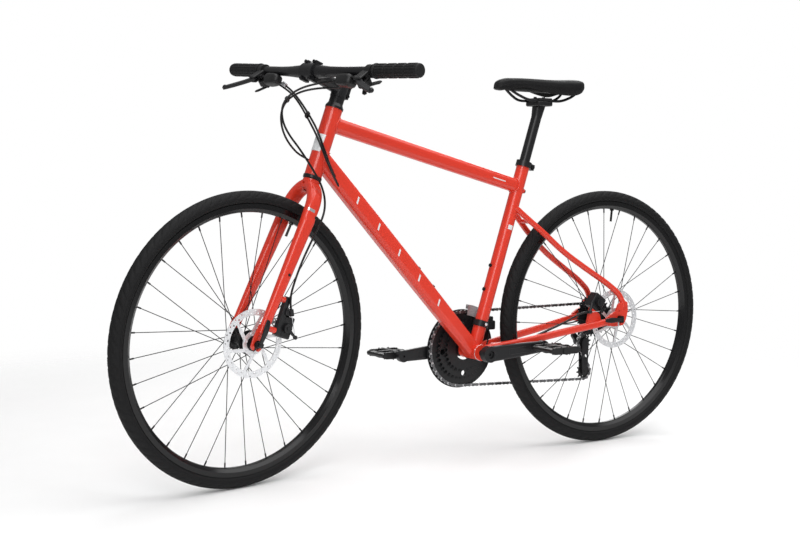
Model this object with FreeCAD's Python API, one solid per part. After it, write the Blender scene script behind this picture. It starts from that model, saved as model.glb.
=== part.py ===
"""Hybrid bicycle with disc brakes, one solid per physical piece.

Millimetres. +X is forward, +Y is the rider's left and +Z is up. The origin lies on the ground,
midway between the two wheels. Pieces that steer are built in the fork's own axes (x forward,
y left, z up the steering axis, origin where the rake line meets that axis) and then placed.
"""
import FreeCAD
import Part
import cmath
import math
import os

V = FreeCAD.Vector

# Wheels and frame geometry
WHEELBASE = 1093.0
TYRE_RADIUS = 346.0
TYRE_WIDTH = 35.0
BEAD_RADIUS = 311.0
RIM_WIDTH = 25.0
RIM_DEPTH = 20.5
SPOKE_COUNT = 32
SPOKE_RADIUS = 0.95
HEAD_ANGLE = 70.7
FORK_RAKE = 48.0
STEER_REST = 9.25
CHAINSTAY = 440.0
BB_DROP = 68.3
SEAT_ANGLE = 72.4

# Frame tubes
HEAD_TUBE_LOW = 419.0
HEAD_TUBE_HIGH = 587.0
HEAD_TUBE_RADIUS = 21.0
HEAD_TUBE_BORE = 17.3
SEAT_TUBE_LENGTH = 505.0
SEAT_TUBE_RADIUS = 17.0
SEATPOST_RADIUS = 13.6
DOWN_TUBE_AT_HEAD = 468.0
TOP_TUBE_AT_HEAD = 551.0
TOP_TUBE_AT_SEAT = 446.0
TUBE_WALL = 1.8
RACK_BOSS = 440.0
BB_SHELL_RADIUS = 20.0
BB_SHELL_HALF = 34.0
REAR_SPACING = 135.0
FRONT_SPACING = 100.0
DROPOUT_THICKNESS = 6.0
BOTTLE_SPACING = 64.0

# Fork, stem and bar
STEERER_RADIUS = 14.29
CROWN_HEIGHT = 408.0
LEG_TOP = 300.0
STEM_LOW = 616.0
STEM_HIGH = 660.0
STEM_REACH = 94.0
BAR_HEIGHT = 643.0
BAR_HALF = 350.0
BAR_RADIUS = 11.1
BAR_CLAMP_RADIUS = 15.9
BAR_BEND = 75.0
BAR_BACK = 19.6
BAR_RISE = 12.0
GRIP_LENGTH = 132.0
GRIP_RADIUS = 16.0
CONTROL_OFFSET = 205.0
CABLE_RADIUS = 2.5

# Drivetrain
CHAIN_PITCH = 12.7
CHAIN_PLANE = -54.0
CRANK_LENGTH = 170.0
CRANK_REST = 3.67
RING_TEETH = (48, 38, 28)
RING_STEP = 6.5
COG_TEETH = (12, 14, 16, 18, 21, 24, 28)
COG_STEP = 5.0
COG_IN_USE = 2
PULLEY_TEETH = 11
GUIDE_DROP = 76.0
GUIDE_FORWARD = 14.5
CAGE_LENGTH = 82.0
ROTOR_RADIUS = 80.0
ROTOR_THICKNESS = 1.8
FRONT_ROTOR_SEAT = 37.0
REAR_ROTOR_SEAT = 52.0

# Seat
POST_TOP = 652.0
SADDLE_NOSE = -166.0
SADDLE_TAIL = -440.0
SADDLE_TOP = 983.0
RAIL_HEIGHT = 927.0
RAIL_RADIUS = 3.5

# Clearances
RUNNING = 0.05
GAP = 0.3

AXLE_RADIUS = 5.0
ORIGIN = V(0, 0, 0)
AXIS_X = V(1, 0, 0)
AXIS_Y = V(0, 1, 0)
AXIS_Z = V(0, 0, 1)

bb_z = TYRE_RADIUS - BB_DROP
rear_x = -WHEELBASE / 2
bb_x = rear_x + math.sqrt(CHAINSTAY ** 2 - BB_DROP ** 2)
BB = V(bb_x, 0, bb_z)
REAR = V(rear_x, 0, TYRE_RADIUS)
head = math.radians(HEAD_ANGLE)
fork_forward = V(math.sin(head), 0, math.cos(head))
fork_up = V(-math.cos(head), 0, math.sin(head))
STEER_FOOT = V(WHEELBASE / 2, 0, TYRE_RADIUS) - fork_forward * FORK_RAKE
FRONT = V(FORK_RAKE, 0, 0)
head_place = FreeCAD.Placement(STEER_FOOT, FreeCAD.Rotation(AXIS_Y, HEAD_ANGLE - 90))
turn_place = FreeCAD.Placement(ORIGIN, FreeCAD.Rotation(AXIS_Z, STEER_REST))
steer_place = head_place.multiply(turn_place)
seat = math.radians(SEAT_ANGLE)
seat_up = V(-math.cos(seat), 0, math.sin(seat))
seat_forward = V(math.sin(seat), 0, math.cos(seat))


def placed(shape, place):
    copy = shape.copy()
    copy.Placement = place.multiply(copy.Placement)
    return copy


def steered(shape):
    return placed(shape, steer_place)


def on_head(point):
    return head_place.multVec(point)


def on_steer(point):
    return steer_place.multVec(point)


def moved(shape, offset):
    return placed(shape, FreeCAD.Placement(offset, FreeCAD.Rotation()))


def turned(shape, centre, axis, degrees):
    copy = shape.copy()
    copy.rotate(centre, axis, degrees)
    return copy


def mirrored(shape):
    return shape.mirror(ORIGIN, AXIS_Y)


def rod(start, end, radius):
    axis = end - start
    return Part.makeCylinder(radius, axis.Length, start, axis)


def taper(start, end, first, last):
    axis = end - start
    return Part.makeCone(first, last, axis.Length, start, axis)


def sleeve(start, end, outer, inner):
    axis = end - start
    unit = V(axis).normalize()
    return rod(start, end, outer).cut(rod(start - unit, end + unit, inner))


def block(low, high):
    size = high - low
    return Part.makeBox(size.x, size.y, size.z, low)


def disc_y(centre, low, high, radius):
    return Part.makeCylinder(radius, high - low, V(centre.x, low, centre.z), AXIS_Y)


def ring_y(centre, low, high, outer, inner):
    return disc_y(centre, low, high, outer).cut(disc_y(centre, low - 1, high + 1, inner))


def spin_y(profile):
    corners = [V(radius, y, 0) for radius, y in profile]
    face = Part.Face(Part.makePolygon(corners + corners[:1]))
    return face.revolve(ORIGIN, AXIS_Y, 360)


def plate_y(outline, low, high):
    corners = [V(x, low, z) for x, z in outline]
    face = Part.Face(Part.makePolygon(corners + corners[:1]))
    return face.extrude(V(0, high - low, 0))


def plate_z(outline, low, high):
    corners = [V(x, y, low) for x, y in outline]
    face = Part.Face(Part.makePolygon(corners + corners[:1]))
    return face.extrude(V(0, 0, high - low))


def joined(shapes):
    result = shapes[0].fuse(shapes[1:])
    return result.removeSplitter()


def softened(shape, radius, chosen=None):
    edges = shape.Edges if chosen is None else [e for e in shape.Edges if chosen(e)]
    try:
        result = shape.makeFillet(radius, edges)
    except Part.OCCError:
        return shape
    return result if result.isValid() and result.Volume > 0 else shape


def section(centre, across, upward, half_wide, half_tall, corner):
    u = V(across).normalize()
    w = V(upward).normalize()
    reach = corner * (1 - math.sqrt(0.5))
    edges = []
    quarters = ((1, 1), (-1, 1), (-1, -1), (1, -1))
    marks = []
    for su, sw in quarters:
        side = centre + u * (su * half_wide) + w * (sw * (half_tall - corner))
        top = centre + u * (su * (half_wide - corner)) + w * (sw * half_tall)
        mid = centre + u * (su * (half_wide - reach)) + w * (sw * (half_tall - reach))
        marks.append((side, mid, top) if su * sw > 0 else (top, mid, side))
    for index in range(4):
        first, mid, last = marks[index]
        edges.append(Part.Arc(first, mid, last).toShape())
        edges.append(Part.LineSegment(last, marks[(index + 1) % 4][0]).toShape())
    return Part.Wire(edges)


def loft(wires, ruled=False):
    return Part.makeLoft(wires, True, ruled)


def round_route(points, share=0.45):
    edges = []
    cursor = points[0]
    smallest = None
    for before, corner, after in zip(points, points[1:], points[2:]):
        back = before - corner
        ahead = after - corner
        trim = share * min(back.Length, ahead.Length)
        back.normalize()
        ahead.normalize()
        half = back.getAngle(ahead) / 2
        radius = trim * math.tan(half)
        middle = V(back + ahead).normalize()
        start = corner + back * trim
        end = corner + ahead * trim
        bend = corner + middle * (trim / math.cos(half) - radius)
        edges.append(Part.LineSegment(cursor, start).toShape())
        edges.append(Part.Arc(start, bend, end).toShape())
        cursor = end
        smallest = radius if smallest is None else min(smallest, radius)
    edges.append(Part.LineSegment(cursor, points[-1]).toShape())
    return Part.Wire(edges), smallest


def tube_along(points, radius, name, share=0.45):
    path, smallest = round_route(points, share)
    circle = Part.Circle(points[0], points[1] - points[0], radius)
    profile = Part.Wire([circle.toShape()])
    tube = path.makePipeShell([profile], True, False)
    expected = math.pi * radius ** 2 * path.Length
    print(name, "length", round(path.Length, 1), "least bend", round(smallest, 1),
          "volume share", round(tube.Volume / expected, 4))
    return tube


def save(name, shapes):
    parts = shapes if isinstance(shapes, list) else [shapes]
    solids = []
    for shape in parts:
        solids.extend(shape.Solids)
    for solid in solids:
        if not solid.isValid():
            print("not valid:", name)
    shape = solids[0] if len(solids) == 1 else Part.makeCompound(solids)
    shape.exportStep("parts/" + name + ".step")
    print(name, len(solids), round(sum(s.Volume for s in solids), 1))


# Sprockets: a root arc that seats the roller, straight flanks and a flat tip for every tooth
ROLLER_RADIUS = 3.9


def pitch_radius(teeth):
    return CHAIN_PITCH / (2 * math.sin(math.pi / teeth))


def sprocket(teeth, half_thick, bore, tooth=3.4, play=0.15):
    radius = pitch_radius(teeth)
    seat_radius = ROLLER_RADIUS + play
    half_step = math.pi / teeth
    edges = []
    previous = None
    first = None
    for index in range(teeth):
        middle = 2 * half_step * index
        out = V(math.cos(middle), 0, math.sin(middle))
        side = V(-math.sin(middle), 0, math.cos(middle))
        low = out * (radius + 0.6) - side * (seat_radius + 0.05)
        root = out * (radius - seat_radius)
        high = out * (radius + 0.6) + side * (seat_radius + 0.05)
        tip_angle = middle + half_step
        tip_out = V(math.cos(tip_angle), 0, math.sin(tip_angle))
        tip_side = V(-math.sin(tip_angle), 0, math.cos(tip_angle))
        tip_radius = (radius + tooth) / math.cos(half_step) - radius * (1 / math.cos(half_step) - 1)
        tip_low = tip_out * tip_radius - tip_side * 0.8
        tip_high = tip_out * tip_radius + tip_side * 0.8
        if previous is None:
            first = low
        else:
            edges.append(Part.LineSegment(previous, low).toShape())
        edges.append(Part.Arc(low, root, high).toShape())
        edges.append(Part.LineSegment(high, tip_low).toShape())
        edges.append(Part.LineSegment(tip_low, tip_high).toShape())
        previous = tip_high
    edges.append(Part.LineSegment(previous, first).toShape())
    face = Part.Face(Part.Wire(edges))
    body = moved(face.extrude(V(0, 2 * half_thick, 0)), V(0, -half_thick, 0))
    return body.cut(disc_y(ORIGIN, -half_thick - 1, half_thick + 1, bore))


# Wheels
def tyre_shape():
    middle = TYRE_RADIUS - TYRE_WIDTH / 2
    outer = TYRE_WIDTH / 2
    inner = outer - 3.2
    foot = BEAD_RADIUS + 0.2
    rise = BEAD_RADIUS + 7.2
    low = math.radians(28)
    lip = math.radians(35)

    def at(radius, y):
        return V(radius, y, 0)

    out_end = at(middle - outer * math.sin(low), outer * math.cos(low))
    in_end = at(middle - inner * math.sin(lip), inner * math.cos(lip))

    def flip(point):
        return V(point.x, -point.y, 0)

    line = Part.LineSegment
    corners = [out_end, at(rise, 9.45), at(foot, 9.45), at(foot, 6.2), at(rise + 0.8, 6.2), in_end]
    edges = [Part.Arc(flip(out_end), at(TYRE_RADIUS, 0), out_end).toShape()]
    for first, last in zip(corners, corners[1:]):
        edges.append(line(first, last).toShape())
    edges.append(Part.Arc(in_end, at(middle + inner, 0), flip(in_end)).toShape())
    for first, last in zip(corners[::-1], corners[::-1][1:]):
        edges.append(line(flip(first), flip(last)).toShape())
    return Part.Face(Part.Wire(edges)).revolve(ORIGIN, AXIS_Y, 360)


def rim_shape():
    half = RIM_WIDTH / 2
    top = BEAD_RADIUS + 6.5
    bed = top - RIM_DEPTH
    lip = BEAD_RADIUS - 0.2
    outline = [(top, half), (top, 9.7), (lip, 9.7), (lip, -9.7), (top, -9.7), (top, -half),
               (bed + 9, -half), (bed + 1.6, -6.5), (bed, -4), (bed, 4), (bed + 1.6, 6.5), (bed + 9, half)]
    hollow = [(lip - 2.4, -9.6), (lip - 2.4, 9.6), (bed + 9, 9.6), (bed + 3.4, 5), (bed + 3.4, -5),
              (bed + 9, -9.6)]
    return spin_y(outline).cut(spin_y(hollow))


def polar(radius, degrees, y):
    angle = math.radians(degrees)
    return V(radius * math.cos(angle), y, radius * math.sin(angle))


def spoke_shape(flange_y, hole_radius, side, rim_angle, hub_angle, outside):
    bed = BEAD_RADIUS + 6.5 - RIM_DEPTH
    shift = side * (3.3 if outside else -3.3)
    start = polar(hole_radius, hub_angle, flange_y + shift)
    end = polar(bed + 2.6, rim_angle, 0)
    inward = V(end - start).normalize()
    neck = end - inward * 14
    through = V(start.x, flange_y - shift * 0.64, start.z)
    cap = V(start.x, flange_y - shift * 0.42, start.z)
    pieces = [rod(start, end, SPOKE_RADIUS), Part.makeSphere(SPOKE_RADIUS, start),
              rod(start, through, SPOKE_RADIUS), rod(cap, through, SPOKE_RADIUS + 0.8),
              rod(neck, end, 1.9)]
    return joined(pieces)


def spoke_set(left_y, left_hole, right_y, right_hole):
    step = 720 / SPOKE_COUNT
    kinds = [(left_y, left_hole, 1, 0, True), (left_y, left_hole, 1, step, False),
             (right_y, right_hole, -1, step / 2, True), (right_y, right_hole, -1, 1.5 * step, False)]
    spokes = []
    for flange_y, hole, side, rim_angle, leads in kinds:
        lag = -3 * step if leads else 3 * step
        single = spoke_shape(flange_y, hole, side, rim_angle, rim_angle + lag, leads)
        for index in range(SPOKE_COUNT // 4):
            spokes.append(turned(single, ORIGIN, AXIS_Y, -2 * step * index))
    return spokes


def rotor_bolts(seat_y):
    top = seat_y + ROTOR_THICKNESS
    bolts = []
    for index in range(6):
        spot = polar(22, 60 * index, 0)
        shank = disc_y(spot, seat_y - 3.2, top, 2.5)
        cap = disc_y(spot, top, top + 2.2, 4.2)
        recess = disc_y(spot, top + 0.8, top + 3, 1.9)
        bolts.append(joined([shank, cap]).cut(recess))
    return bolts


def rotor_shape(seat_y):
    low = seat_y
    high = seat_y + ROTOR_THICKNESS
    track = ring_y(ORIGIN, low, high, ROTOR_RADIUS, ROTOR_RADIUS - 15)
    inner = ring_y(ORIGIN, low, high, 28, 17.45)
    pieces = [track, inner]
    for index in range(6):
        near = polar(25, 60 * index + 6, 0)
        knee = polar(48, 60 * index + 24, 0)
        far = polar(ROTOR_RADIUS - 12, 60 * index + 30, 0)
        for first, last, wide in ((near, knee, 4.2), (knee, far, 3.4)):
            along = V(last - first).normalize()
            side = V(-along.z, 0, along.x) * wide
            outline = [first + side, last + side, last - side, first - side]
            pieces.append(plate_y([(p.x, p.z) for p in outline], low, high))
        pieces.append(disc_y(knee, low, high, 3.8))
    body = joined(pieces)
    holes = []
    for index in range(6):
        holes.append(disc_y(polar(22, 60 * index, 0), low - 1, high + 1, 2.5))
    for index in range(24):
        for radius, lead, size in ((ROTOR_RADIUS - 4.2, 0, 2.0), (ROTOR_RADIUS - 10.2, 5.5, 2.4)):
            holes.append(disc_y(polar(radius, 15 * index + lead, 0), low - 1, high + 1, size))
    return body.cut(Part.makeCompound(holes))


def wheel(name, hub, left_y, left_hole, right_y, right_hole, rotor_seat, finish):
    spokes = spoke_set(left_y, left_hole, right_y, right_hole)
    bolts = rotor_bolts(rotor_seat)
    bed = BEAD_RADIUS + 6.5 - RIM_DEPTH
    valve_angle = 360 / SPOKE_COUNT * 8.5
    stem = rod(polar(bed - 34, valve_angle, 0), polar(bed + 2.6, valve_angle, 0), 3.0)
    collar = rod(polar(bed - 4, valve_angle, 0), polar(bed - 0.05, valve_angle, 0), 5.5)
    valve = joined([stem, collar])
    rim = rim_shape().cut(Part.makeCompound(spokes + [valve]))
    hub_body = hub.cut(Part.makeCompound(spokes + bolts))
    save(name + "_tyre", finish(tyre_shape()))
    save(name + "_rim", [finish(rim), finish(valve)])
    save(name + "_spokes", [finish(s) for s in spokes])
    save(name + "_hub", finish(hub_body))
    save(name + "_rotor", [finish(rotor_shape(rotor_seat))] + [finish(b) for b in bolts])


def flange(y, radius):
    return [(radius, y - 1.3), (radius, y + 1.3)]


def front_wheel():
    bore = AXLE_RADIUS + RUNNING
    end = FRONT_SPACING / 2 - 6.3
    seat_y = FRONT_ROTOR_SEAT
    profile = [(bore, -end), (11.5, -end), (11.5, -36)] + flange(-33, 25)
    profile += [(13.5, -30), (13.5, 19)] + flange(22, 28.5) + [(17.5, 25), (17.5, seat_y - 4)]
    profile += [(27, seat_y - 3.5), (27, seat_y), (17.4, seat_y), (17.4, seat_y + 3.4), (11.5, seat_y + 4)]
    profile += [(11.5, end), (bore, end)]

    def finish(shape):
        return steered(moved(shape, FRONT))

    wheel("front", spin_y(profile), 22, 25.5, -33, 22, seat_y, finish)


FREEHUB_RADIUS = 16.9
CASSETTE_LOW = -64.5
CASSETTE_HIGH = -31.5


def rear_wheel():
    bore = AXLE_RADIUS + RUNNING
    end = REAR_SPACING / 2 - 6.3
    seat_y = REAR_ROTOR_SEAT
    profile = [(bore, CASSETTE_LOW), (FREEHUB_RADIUS, CASSETTE_LOW), (FREEHUB_RADIUS, CASSETTE_HIGH + 0.5)]
    profile += [(20, CASSETTE_HIGH + 1), (20, -24)] + flange(-21, 28.5) + [(15, -17), (15, 29)]
    profile += flange(33, 28.5) + [(17.5, 36), (17.5, seat_y - 4), (27, seat_y - 3.5), (27, seat_y)]
    profile += [(17.4, seat_y), (17.4, seat_y + 3.4), (11.5, seat_y + 4), (11.5, end), (bore, end)]

    def finish(shape):
        return moved(shape, REAR)

    wheel("rear", spin_y(profile), 33, 25.5, -21, 25.5, seat_y, finish)


def quick_release(half):
    """Lever that points along +Z from a cam on the left end of an axle along Y; cam axis is X."""
    out = half + DROPOUT_THICKNESS
    hinge = V(0, out + 9, 0)
    barrel = rod(hinge - AXIS_X * 6, hinge + AXIS_X * 6, 6.5)
    stations = ((1, 0, 5.0, 3.2), (5, 22, 6.0, 2.2), (6, 44, 7.0, 2.0), (3.5, 60, 4.0, 1.6))
    blade = [section(hinge + V(0, y, z), AXIS_X, AXIS_Y, wide, thick, thick * 0.8)
             for y, z, wide, thick in stations]
    lever = joined([barrel, loft(blade)])
    return lever.cut(rod(hinge - AXIS_X * 20, hinge + AXIS_X * 20, 2.5 + RUNNING))


def axle_set(half, left_nut, right_nut):
    """Hollow-axle stand-in with locknuts, the cam pin's cradle on the left and a nut on the right."""
    out = half + DROPOUT_THICKNESS
    shaft = disc_y(ORIGIN, -out - 2, out + 2, AXLE_RADIUS)
    left = disc_y(ORIGIN, half - left_nut, half, 8.5)
    right = disc_y(ORIGIN, -half, -half + right_nut, 8.5)
    pieces = [shaft, left, right]
    cup = disc_y(ORIGIN, out, out + 2.2, 9.5)
    stud = disc_y(ORIGIN, out, out + 2.2, 5)
    nut = disc_y(ORIGIN, -out - 8, -out, 9)
    nut = softened(nut, 1.5, lambda e: e.BoundBox.YMax < -out - 7)
    pin = rod(V(-9, out + 9, 0), V(9, out + 9, 0), 2.5)
    cheeks = []
    for side in (-1, 1):
        low = V(min(side * 6.4, side * 9), out, -5)
        high = V(max(side * 6.4, side * 9), out + 12, 5)
        cheeks.append(block(low, high))
    return joined(pieces + [cup, stud, nut, pin] + cheeks)


def axles():
    front = moved(axle_set(FRONT_SPACING / 2, 6.0, 6.0), FRONT)
    save("front_axle", steered(front))
    save("front_quick_release", steered(moved(quick_release(FRONT_SPACING / 2), FRONT)))
    rear = axle_set(REAR_SPACING / 2, 6.0, REAR_SPACING / 2 + CASSETTE_LOW - GAP)
    save("rear_axle", moved(turned(rear, ORIGIN, AXIS_Y, 90), REAR))
    lever = turned(quick_release(REAR_SPACING / 2), ORIGIN, AXIS_Y, 90)
    save("rear_quick_release", moved(lever, REAR))



# Frame
def along_seat(distance, forward=0.0, y=0.0):
    return BB + seat_up * distance + seat_forward * forward + V(0, y, 0)


HEAD_SOLID = rod(on_head(V(0, 0, HEAD_TUBE_LOW)), on_head(V(0, 0, HEAD_TUBE_HIGH)), HEAD_TUBE_RADIUS)
SEAT_SOLID = rod(BB, along_seat(SEAT_TUBE_LENGTH), SEAT_TUBE_RADIUS)
SHELL_SOLID = disc_y(BB, -BB_SHELL_HALF, BB_SHELL_HALF, BB_SHELL_RADIUS)
down_end = on_head(V(0, 0, DOWN_TUBE_AT_HEAD))
top_end = on_head(V(0, 0, TOP_TUBE_AT_HEAD))
top_start = along_seat(TOP_TUBE_AT_SEAT)
down_along = V(down_end - BB).normalize()
down_up = V(-down_along.z, 0, down_along.x)


def main_tube(start, end, stations):
    along = end - start
    upward = V(-along.z, 0, along.x)
    outer = []
    inner = []
    for share, wide, tall, corner in stations:
        centre = start + along * share
        outer.append(section(centre, AXIS_Y, upward, wide, tall, corner))
        thin = corner - TUBE_WALL
        inner.append(section(centre, AXIS_Y, upward, wide - TUBE_WALL, tall - TUBE_WALL, thin))
    return loft(outer), loft(inner)


def bolt(spot, outward, shank, head_radius, head_tall):
    unit = V(outward).normalize()
    body = joined([rod(spot - unit * shank, spot, 2.5), rod(spot, spot + unit * head_tall, head_radius)])
    return body.cut(rod(spot + unit * (head_tall - 2), spot + unit * (head_tall + 1), 1.6))


def bottle_bolts():
    bolts = []
    for index in range(2):
        on_down = BB + down_along * (213.5 + BOTTLE_SPACING * index) + down_up * 22.0
        bolts.append(bolt(on_down, down_up, 6.0, 4.6, 4.2))
        on_seat = along_seat(162.0 + BOTTLE_SPACING * index, SEAT_TUBE_RADIUS)
        bolts.append(bolt(on_seat, seat_forward, 3.0, 4.6, 4.2))
    on_boss = along_seat(RACK_BOSS, -SEAT_TUBE_RADIUS - 5)
    bolts.append(bolt(on_boss, seat_forward * -1, 5.0, 4.6, 4.2))
    return bolts


def cable_port_cutters():
    cutters = []
    for start, end in PORT_RUNS:
        cutters.append(rod(start, end, CABLE_RADIUS + 0.4))
    return cutters


def frame_tubes():
    bolts = bottle_bolts()
    all_bolts = Part.makeCompound(bolts)
    low = on_head(V(0, 0, HEAD_TUBE_LOW))
    high = on_head(V(0, 0, HEAD_TUBE_HIGH))
    save("head_tube", sleeve(low, high, HEAD_TUBE_RADIUS, HEAD_TUBE_BORE))
    seat_tube = sleeve(BB, along_seat(SEAT_TUBE_LENGTH), SEAT_TUBE_RADIUS, SEATPOST_RADIUS + RUNNING)
    boss_root = along_seat(RACK_BOSS, 1.5 - SEAT_TUBE_RADIUS)
    boss = rod(boss_root, along_seat(RACK_BOSS, -SEAT_TUBE_RADIUS - 5), 6.5)
    seat_tube = joined([seat_tube, boss])
    save("seat_tube", seat_tube.cut(SHELL_SOLID).cut(all_bolts))
    short = 1 - 6 / (down_end - BB).Length
    outer, inner = main_tube(BB, down_end, ((0, 22, 18.5, 13), (0.3, 21, 21.5, 14), (0.75, 20.5, 22, 14),
                                            (short, 18.5, 21.5, 14)))
    down = outer.cut(inner).cut(SHELL_SOLID).cut(SEAT_SOLID).cut(HEAD_SOLID).cut(all_bolts)
    down = down.cut(Part.makeCompound(cable_port_cutters()))
    save("down_tube", down)
    short = 6 / (top_end - top_start).Length
    outer, inner = main_tube(top_start, top_end, ((short, 14.5, 18, 13), (0.4, 15.5, 18.5, 14),
                                                  (1 - short, 17.5, 19, 15)))
    save("top_tube", outer.cut(inner).cut(SEAT_SOLID).cut(HEAD_SOLID))
    save("frame_bolts", bolts)
    shell = ring_y(BB, -BB_SHELL_HALF, BB_SHELL_HALF, BB_SHELL_RADIUS, 17.5)
    cups = []
    for side in (-1, 1):
        lip = sorted((side * BB_SHELL_HALF, side * (BB_SHELL_HALF + 3.5)))
        deep = sorted((side * 16.0, side * (BB_SHELL_HALF + 3.5)))
        cup = joined([disc_y(BB, lip[0], lip[1], 20.5), disc_y(BB, deep[0], deep[1], 17.5)])
        cups.append(cup.cut(disc_y(BB, -60, 60, SPINDLE_RADIUS + RUNNING)))
    save("bottom_bracket", [shell] + cups)


SPINDLE_RADIUS = 8.5


def stay_z(x):
    return bb_z + BB_DROP * (bb_x - x) / (bb_x - rear_x)


def stay_spot(share, y, rise):
    x = bb_x + (rear_x - bb_x) * share
    return V(x, y, stay_z(x) + rise)


BRAKE_EXIT = (stay_spot(0.33, 38.5, -1), stay_spot(0.47, 45.5, 13.5))
SHIFT_EXIT = (stay_spot(0.70, -58, 0), stay_spot(0.86, -69, -15))
SHIFT_CABLE_RADIUS = 2.2


def chainstay():
    stations = ((bb_x - 6, 20, 9, 13), (bb_x - 55, 26, 8.5, 12.5), (bb_x - 95, 33.5, 8, 11.5),
                (rear_x + 215, 47, 8, 10), (rear_x + 105, 61, 7.2, 9.5), (rear_x + 34, 67, 6.5, 9))
    wires = []
    for x, y, wide, tall in stations:
        wires.append(section(V(x, y, stay_z(x)), AXIS_Y, AXIS_Z, wide, tall, wide * 0.85))
    return loft(wires).cut(SHELL_SOLID)


def dropout(right):
    inner = REAR_SPACING / 2
    outline = [(44, -16), (46, 4), (30, 14), (12, 22), (4, 40), (-14, 52), (-28, 44), (-30, 22), (-24, -2),
               (-15, -16), (-4, -19), (20, -19)]
    if right:
        outline = outline[:10] + [(-18, -34), (-10, -42), (4, -38), (10, -19)] + outline[11:]
    points = [(rear_x + x, TYRE_RADIUS + z) for x, z in outline]
    plate = plate_y(points, inner, inner + DROPOUT_THICKNESS)
    slot = AXLE_RADIUS + 0.05
    plate = plate.cut(disc_y(REAR, inner - 1, inner + 9, slot))
    mouth = block(V(rear_x - slot, inner - 1, TYRE_RADIUS - 60), V(rear_x + slot, inner + 9, TYRE_RADIUS))
    if right:
        mouth = block(V(rear_x - slot, inner - 1, TYRE_RADIUS - 12), V(rear_x + slot, inner + 9, TYRE_RADIUS))
        plate = plate.cut(disc_y(HANGER, inner - 1, inner + 9, 5.0))
    plate = plate.cut(mouth)
    eyelet = V(rear_x + 1, 0, TYRE_RADIUS + 22)
    return plate.cut(disc_y(eyelet, inner - 1, inner + 9, 2.5))


HANGER = V(rear_x - 6, 0, TYRE_RADIUS - 31)


STAY_TOP = along_seat(390)
STAY_FOOT = REAR + V(-19, 0, 31)


def stay_line(share):
    return STAY_TOP + (STAY_FOOT - STAY_TOP) * share


def seatstay():
    points = [STAY_TOP + V(0, 12, 0)]
    stations = ((0.10, 19, -1.6, 0), (0.22, 33, 0, -3), (0.42, 43, 0, -5), (0.64, 51, 0, 8.5),
                (0.83, 58, 0, 22.5), (0.95, 65, 0, 24.5), (0.99, 68.5, 0, 9), (1.0, 70, 0, 0))
    for share, y, back, rise in stations:
        points.append(stay_line(share) + V(-back, y, rise))
    return tube_along(points, 7.8, "seatstay").cut(SEAT_SOLID)


def rear_triangle():
    stay = chainstay()
    upper = seatstay()
    left_stay = stay.cut(rod(*BRAKE_EXIT, CABLE_RADIUS + 0.4))
    right_stay = mirrored(stay).cut(rod(*SHIFT_EXIT, SHIFT_CABLE_RADIUS + 0.4))
    left_drop = dropout(False).cut(stay).cut(upper)
    right_drop = mirrored(dropout(True)).cut(mirrored(stay)).cut(mirrored(upper))
    bridge = disc_y(V(bb_x - 68, 0, stay_z(bb_x - 68) + 1), -32, 32, 6.0)
    bridge = bridge.cut(stay).cut(mirrored(stay))
    outline = [(58, -4), (108, -12), (96, 36), (64, 16)]
    tab = plate_y([(rear_x + x, TYRE_RADIUS + z) for x, z in outline], 58, 65.5)
    tab = tab.cut(stay).cut(rear_caliper_solid()).cut(left_drop)
    tab = max(tab.Solids, key=lambda s: s.CenterOfMass.z)
    save("chainstays", [left_stay, right_stay, max(bridge.Solids, key=lambda s: s.Volume), left_drop,
                        right_drop, tab])
    cross = disc_y(stay_line(0.14), -30, 30, 6.0)
    cross = cross.cut(upper).cut(mirrored(upper))
    save("seatstays", [upper, mirrored(upper), max(cross.Solids, key=lambda s: s.BoundBox.YLength
                                                   if abs(s.CenterOfMass.y) < 2 else 0)])


def headset():
    bore = STEERER_RADIUS + RUNNING
    upper = joined([rod(V(0, 0, HEAD_TUBE_HIGH), V(0, 0, HEAD_TUBE_HIGH + 5), 22.2),
                    rod(V(0, 0, HEAD_TUBE_HIGH - 12), V(0, 0, HEAD_TUBE_HIGH), HEAD_TUBE_BORE)])
    lower = joined([rod(V(0, 0, HEAD_TUBE_LOW - 9), V(0, 0, HEAD_TUBE_LOW), 22.6),
                    rod(V(0, 0, HEAD_TUBE_LOW), V(0, 0, HEAD_TUBE_LOW + 12), HEAD_TUBE_BORE)])
    hole = rod(V(0, 0, 300), V(0, 0, 700), bore)
    lower = softened(lower, 2.0, lambda e: e.BoundBox.XLength > 44)
    save("headset_cups", [placed(upper.cut(hole), head_place), placed(lower.cut(hole), head_place)])


def seat_clamp():
    low = along_seat(SEAT_TUBE_LENGTH - 6)
    high = along_seat(SEAT_TUBE_LENGTH + 9)
    ring = rod(low, high, SEAT_TUBE_RADIUS + 3.6)
    ears = Part.makeBox(16, 16, 15, V(-16, -8, 0))
    ears = placed(ears, FreeCAD.Placement(low - seat_forward * 15, FreeCAD.Rotation(AXIS_Y, SEAT_ANGLE - 90)))
    slot = Part.makeBox(24, 2, 20, V(-24, -1, -1))
    slot = placed(slot, FreeCAD.Placement(low - seat_forward * 12, FreeCAD.Rotation(AXIS_Y, SEAT_ANGLE - 90)))
    collar = joined([ring, ears])
    lip = along_seat(SEAT_TUBE_LENGTH)
    collar = collar.cut(rod(low - seat_up * 5, lip, SEAT_TUBE_RADIUS))
    collar = collar.cut(rod(low, high + seat_up * 5, SEATPOST_RADIUS + 0.25)).cut(slot)
    spot = low + seat_up * 7.5 - seat_forward * 25
    screw = joined([disc_y(spot, -11, 8, 2.5), disc_y(spot, 8, 12, 4.2)])
    save("seat_collar", [collar.cut(screw), screw])


# Fork and cockpit, in the fork's own axes
def fork_line(z):
    return FORK_RAKE * (1 - z / CROWN_HEIGHT)


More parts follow.
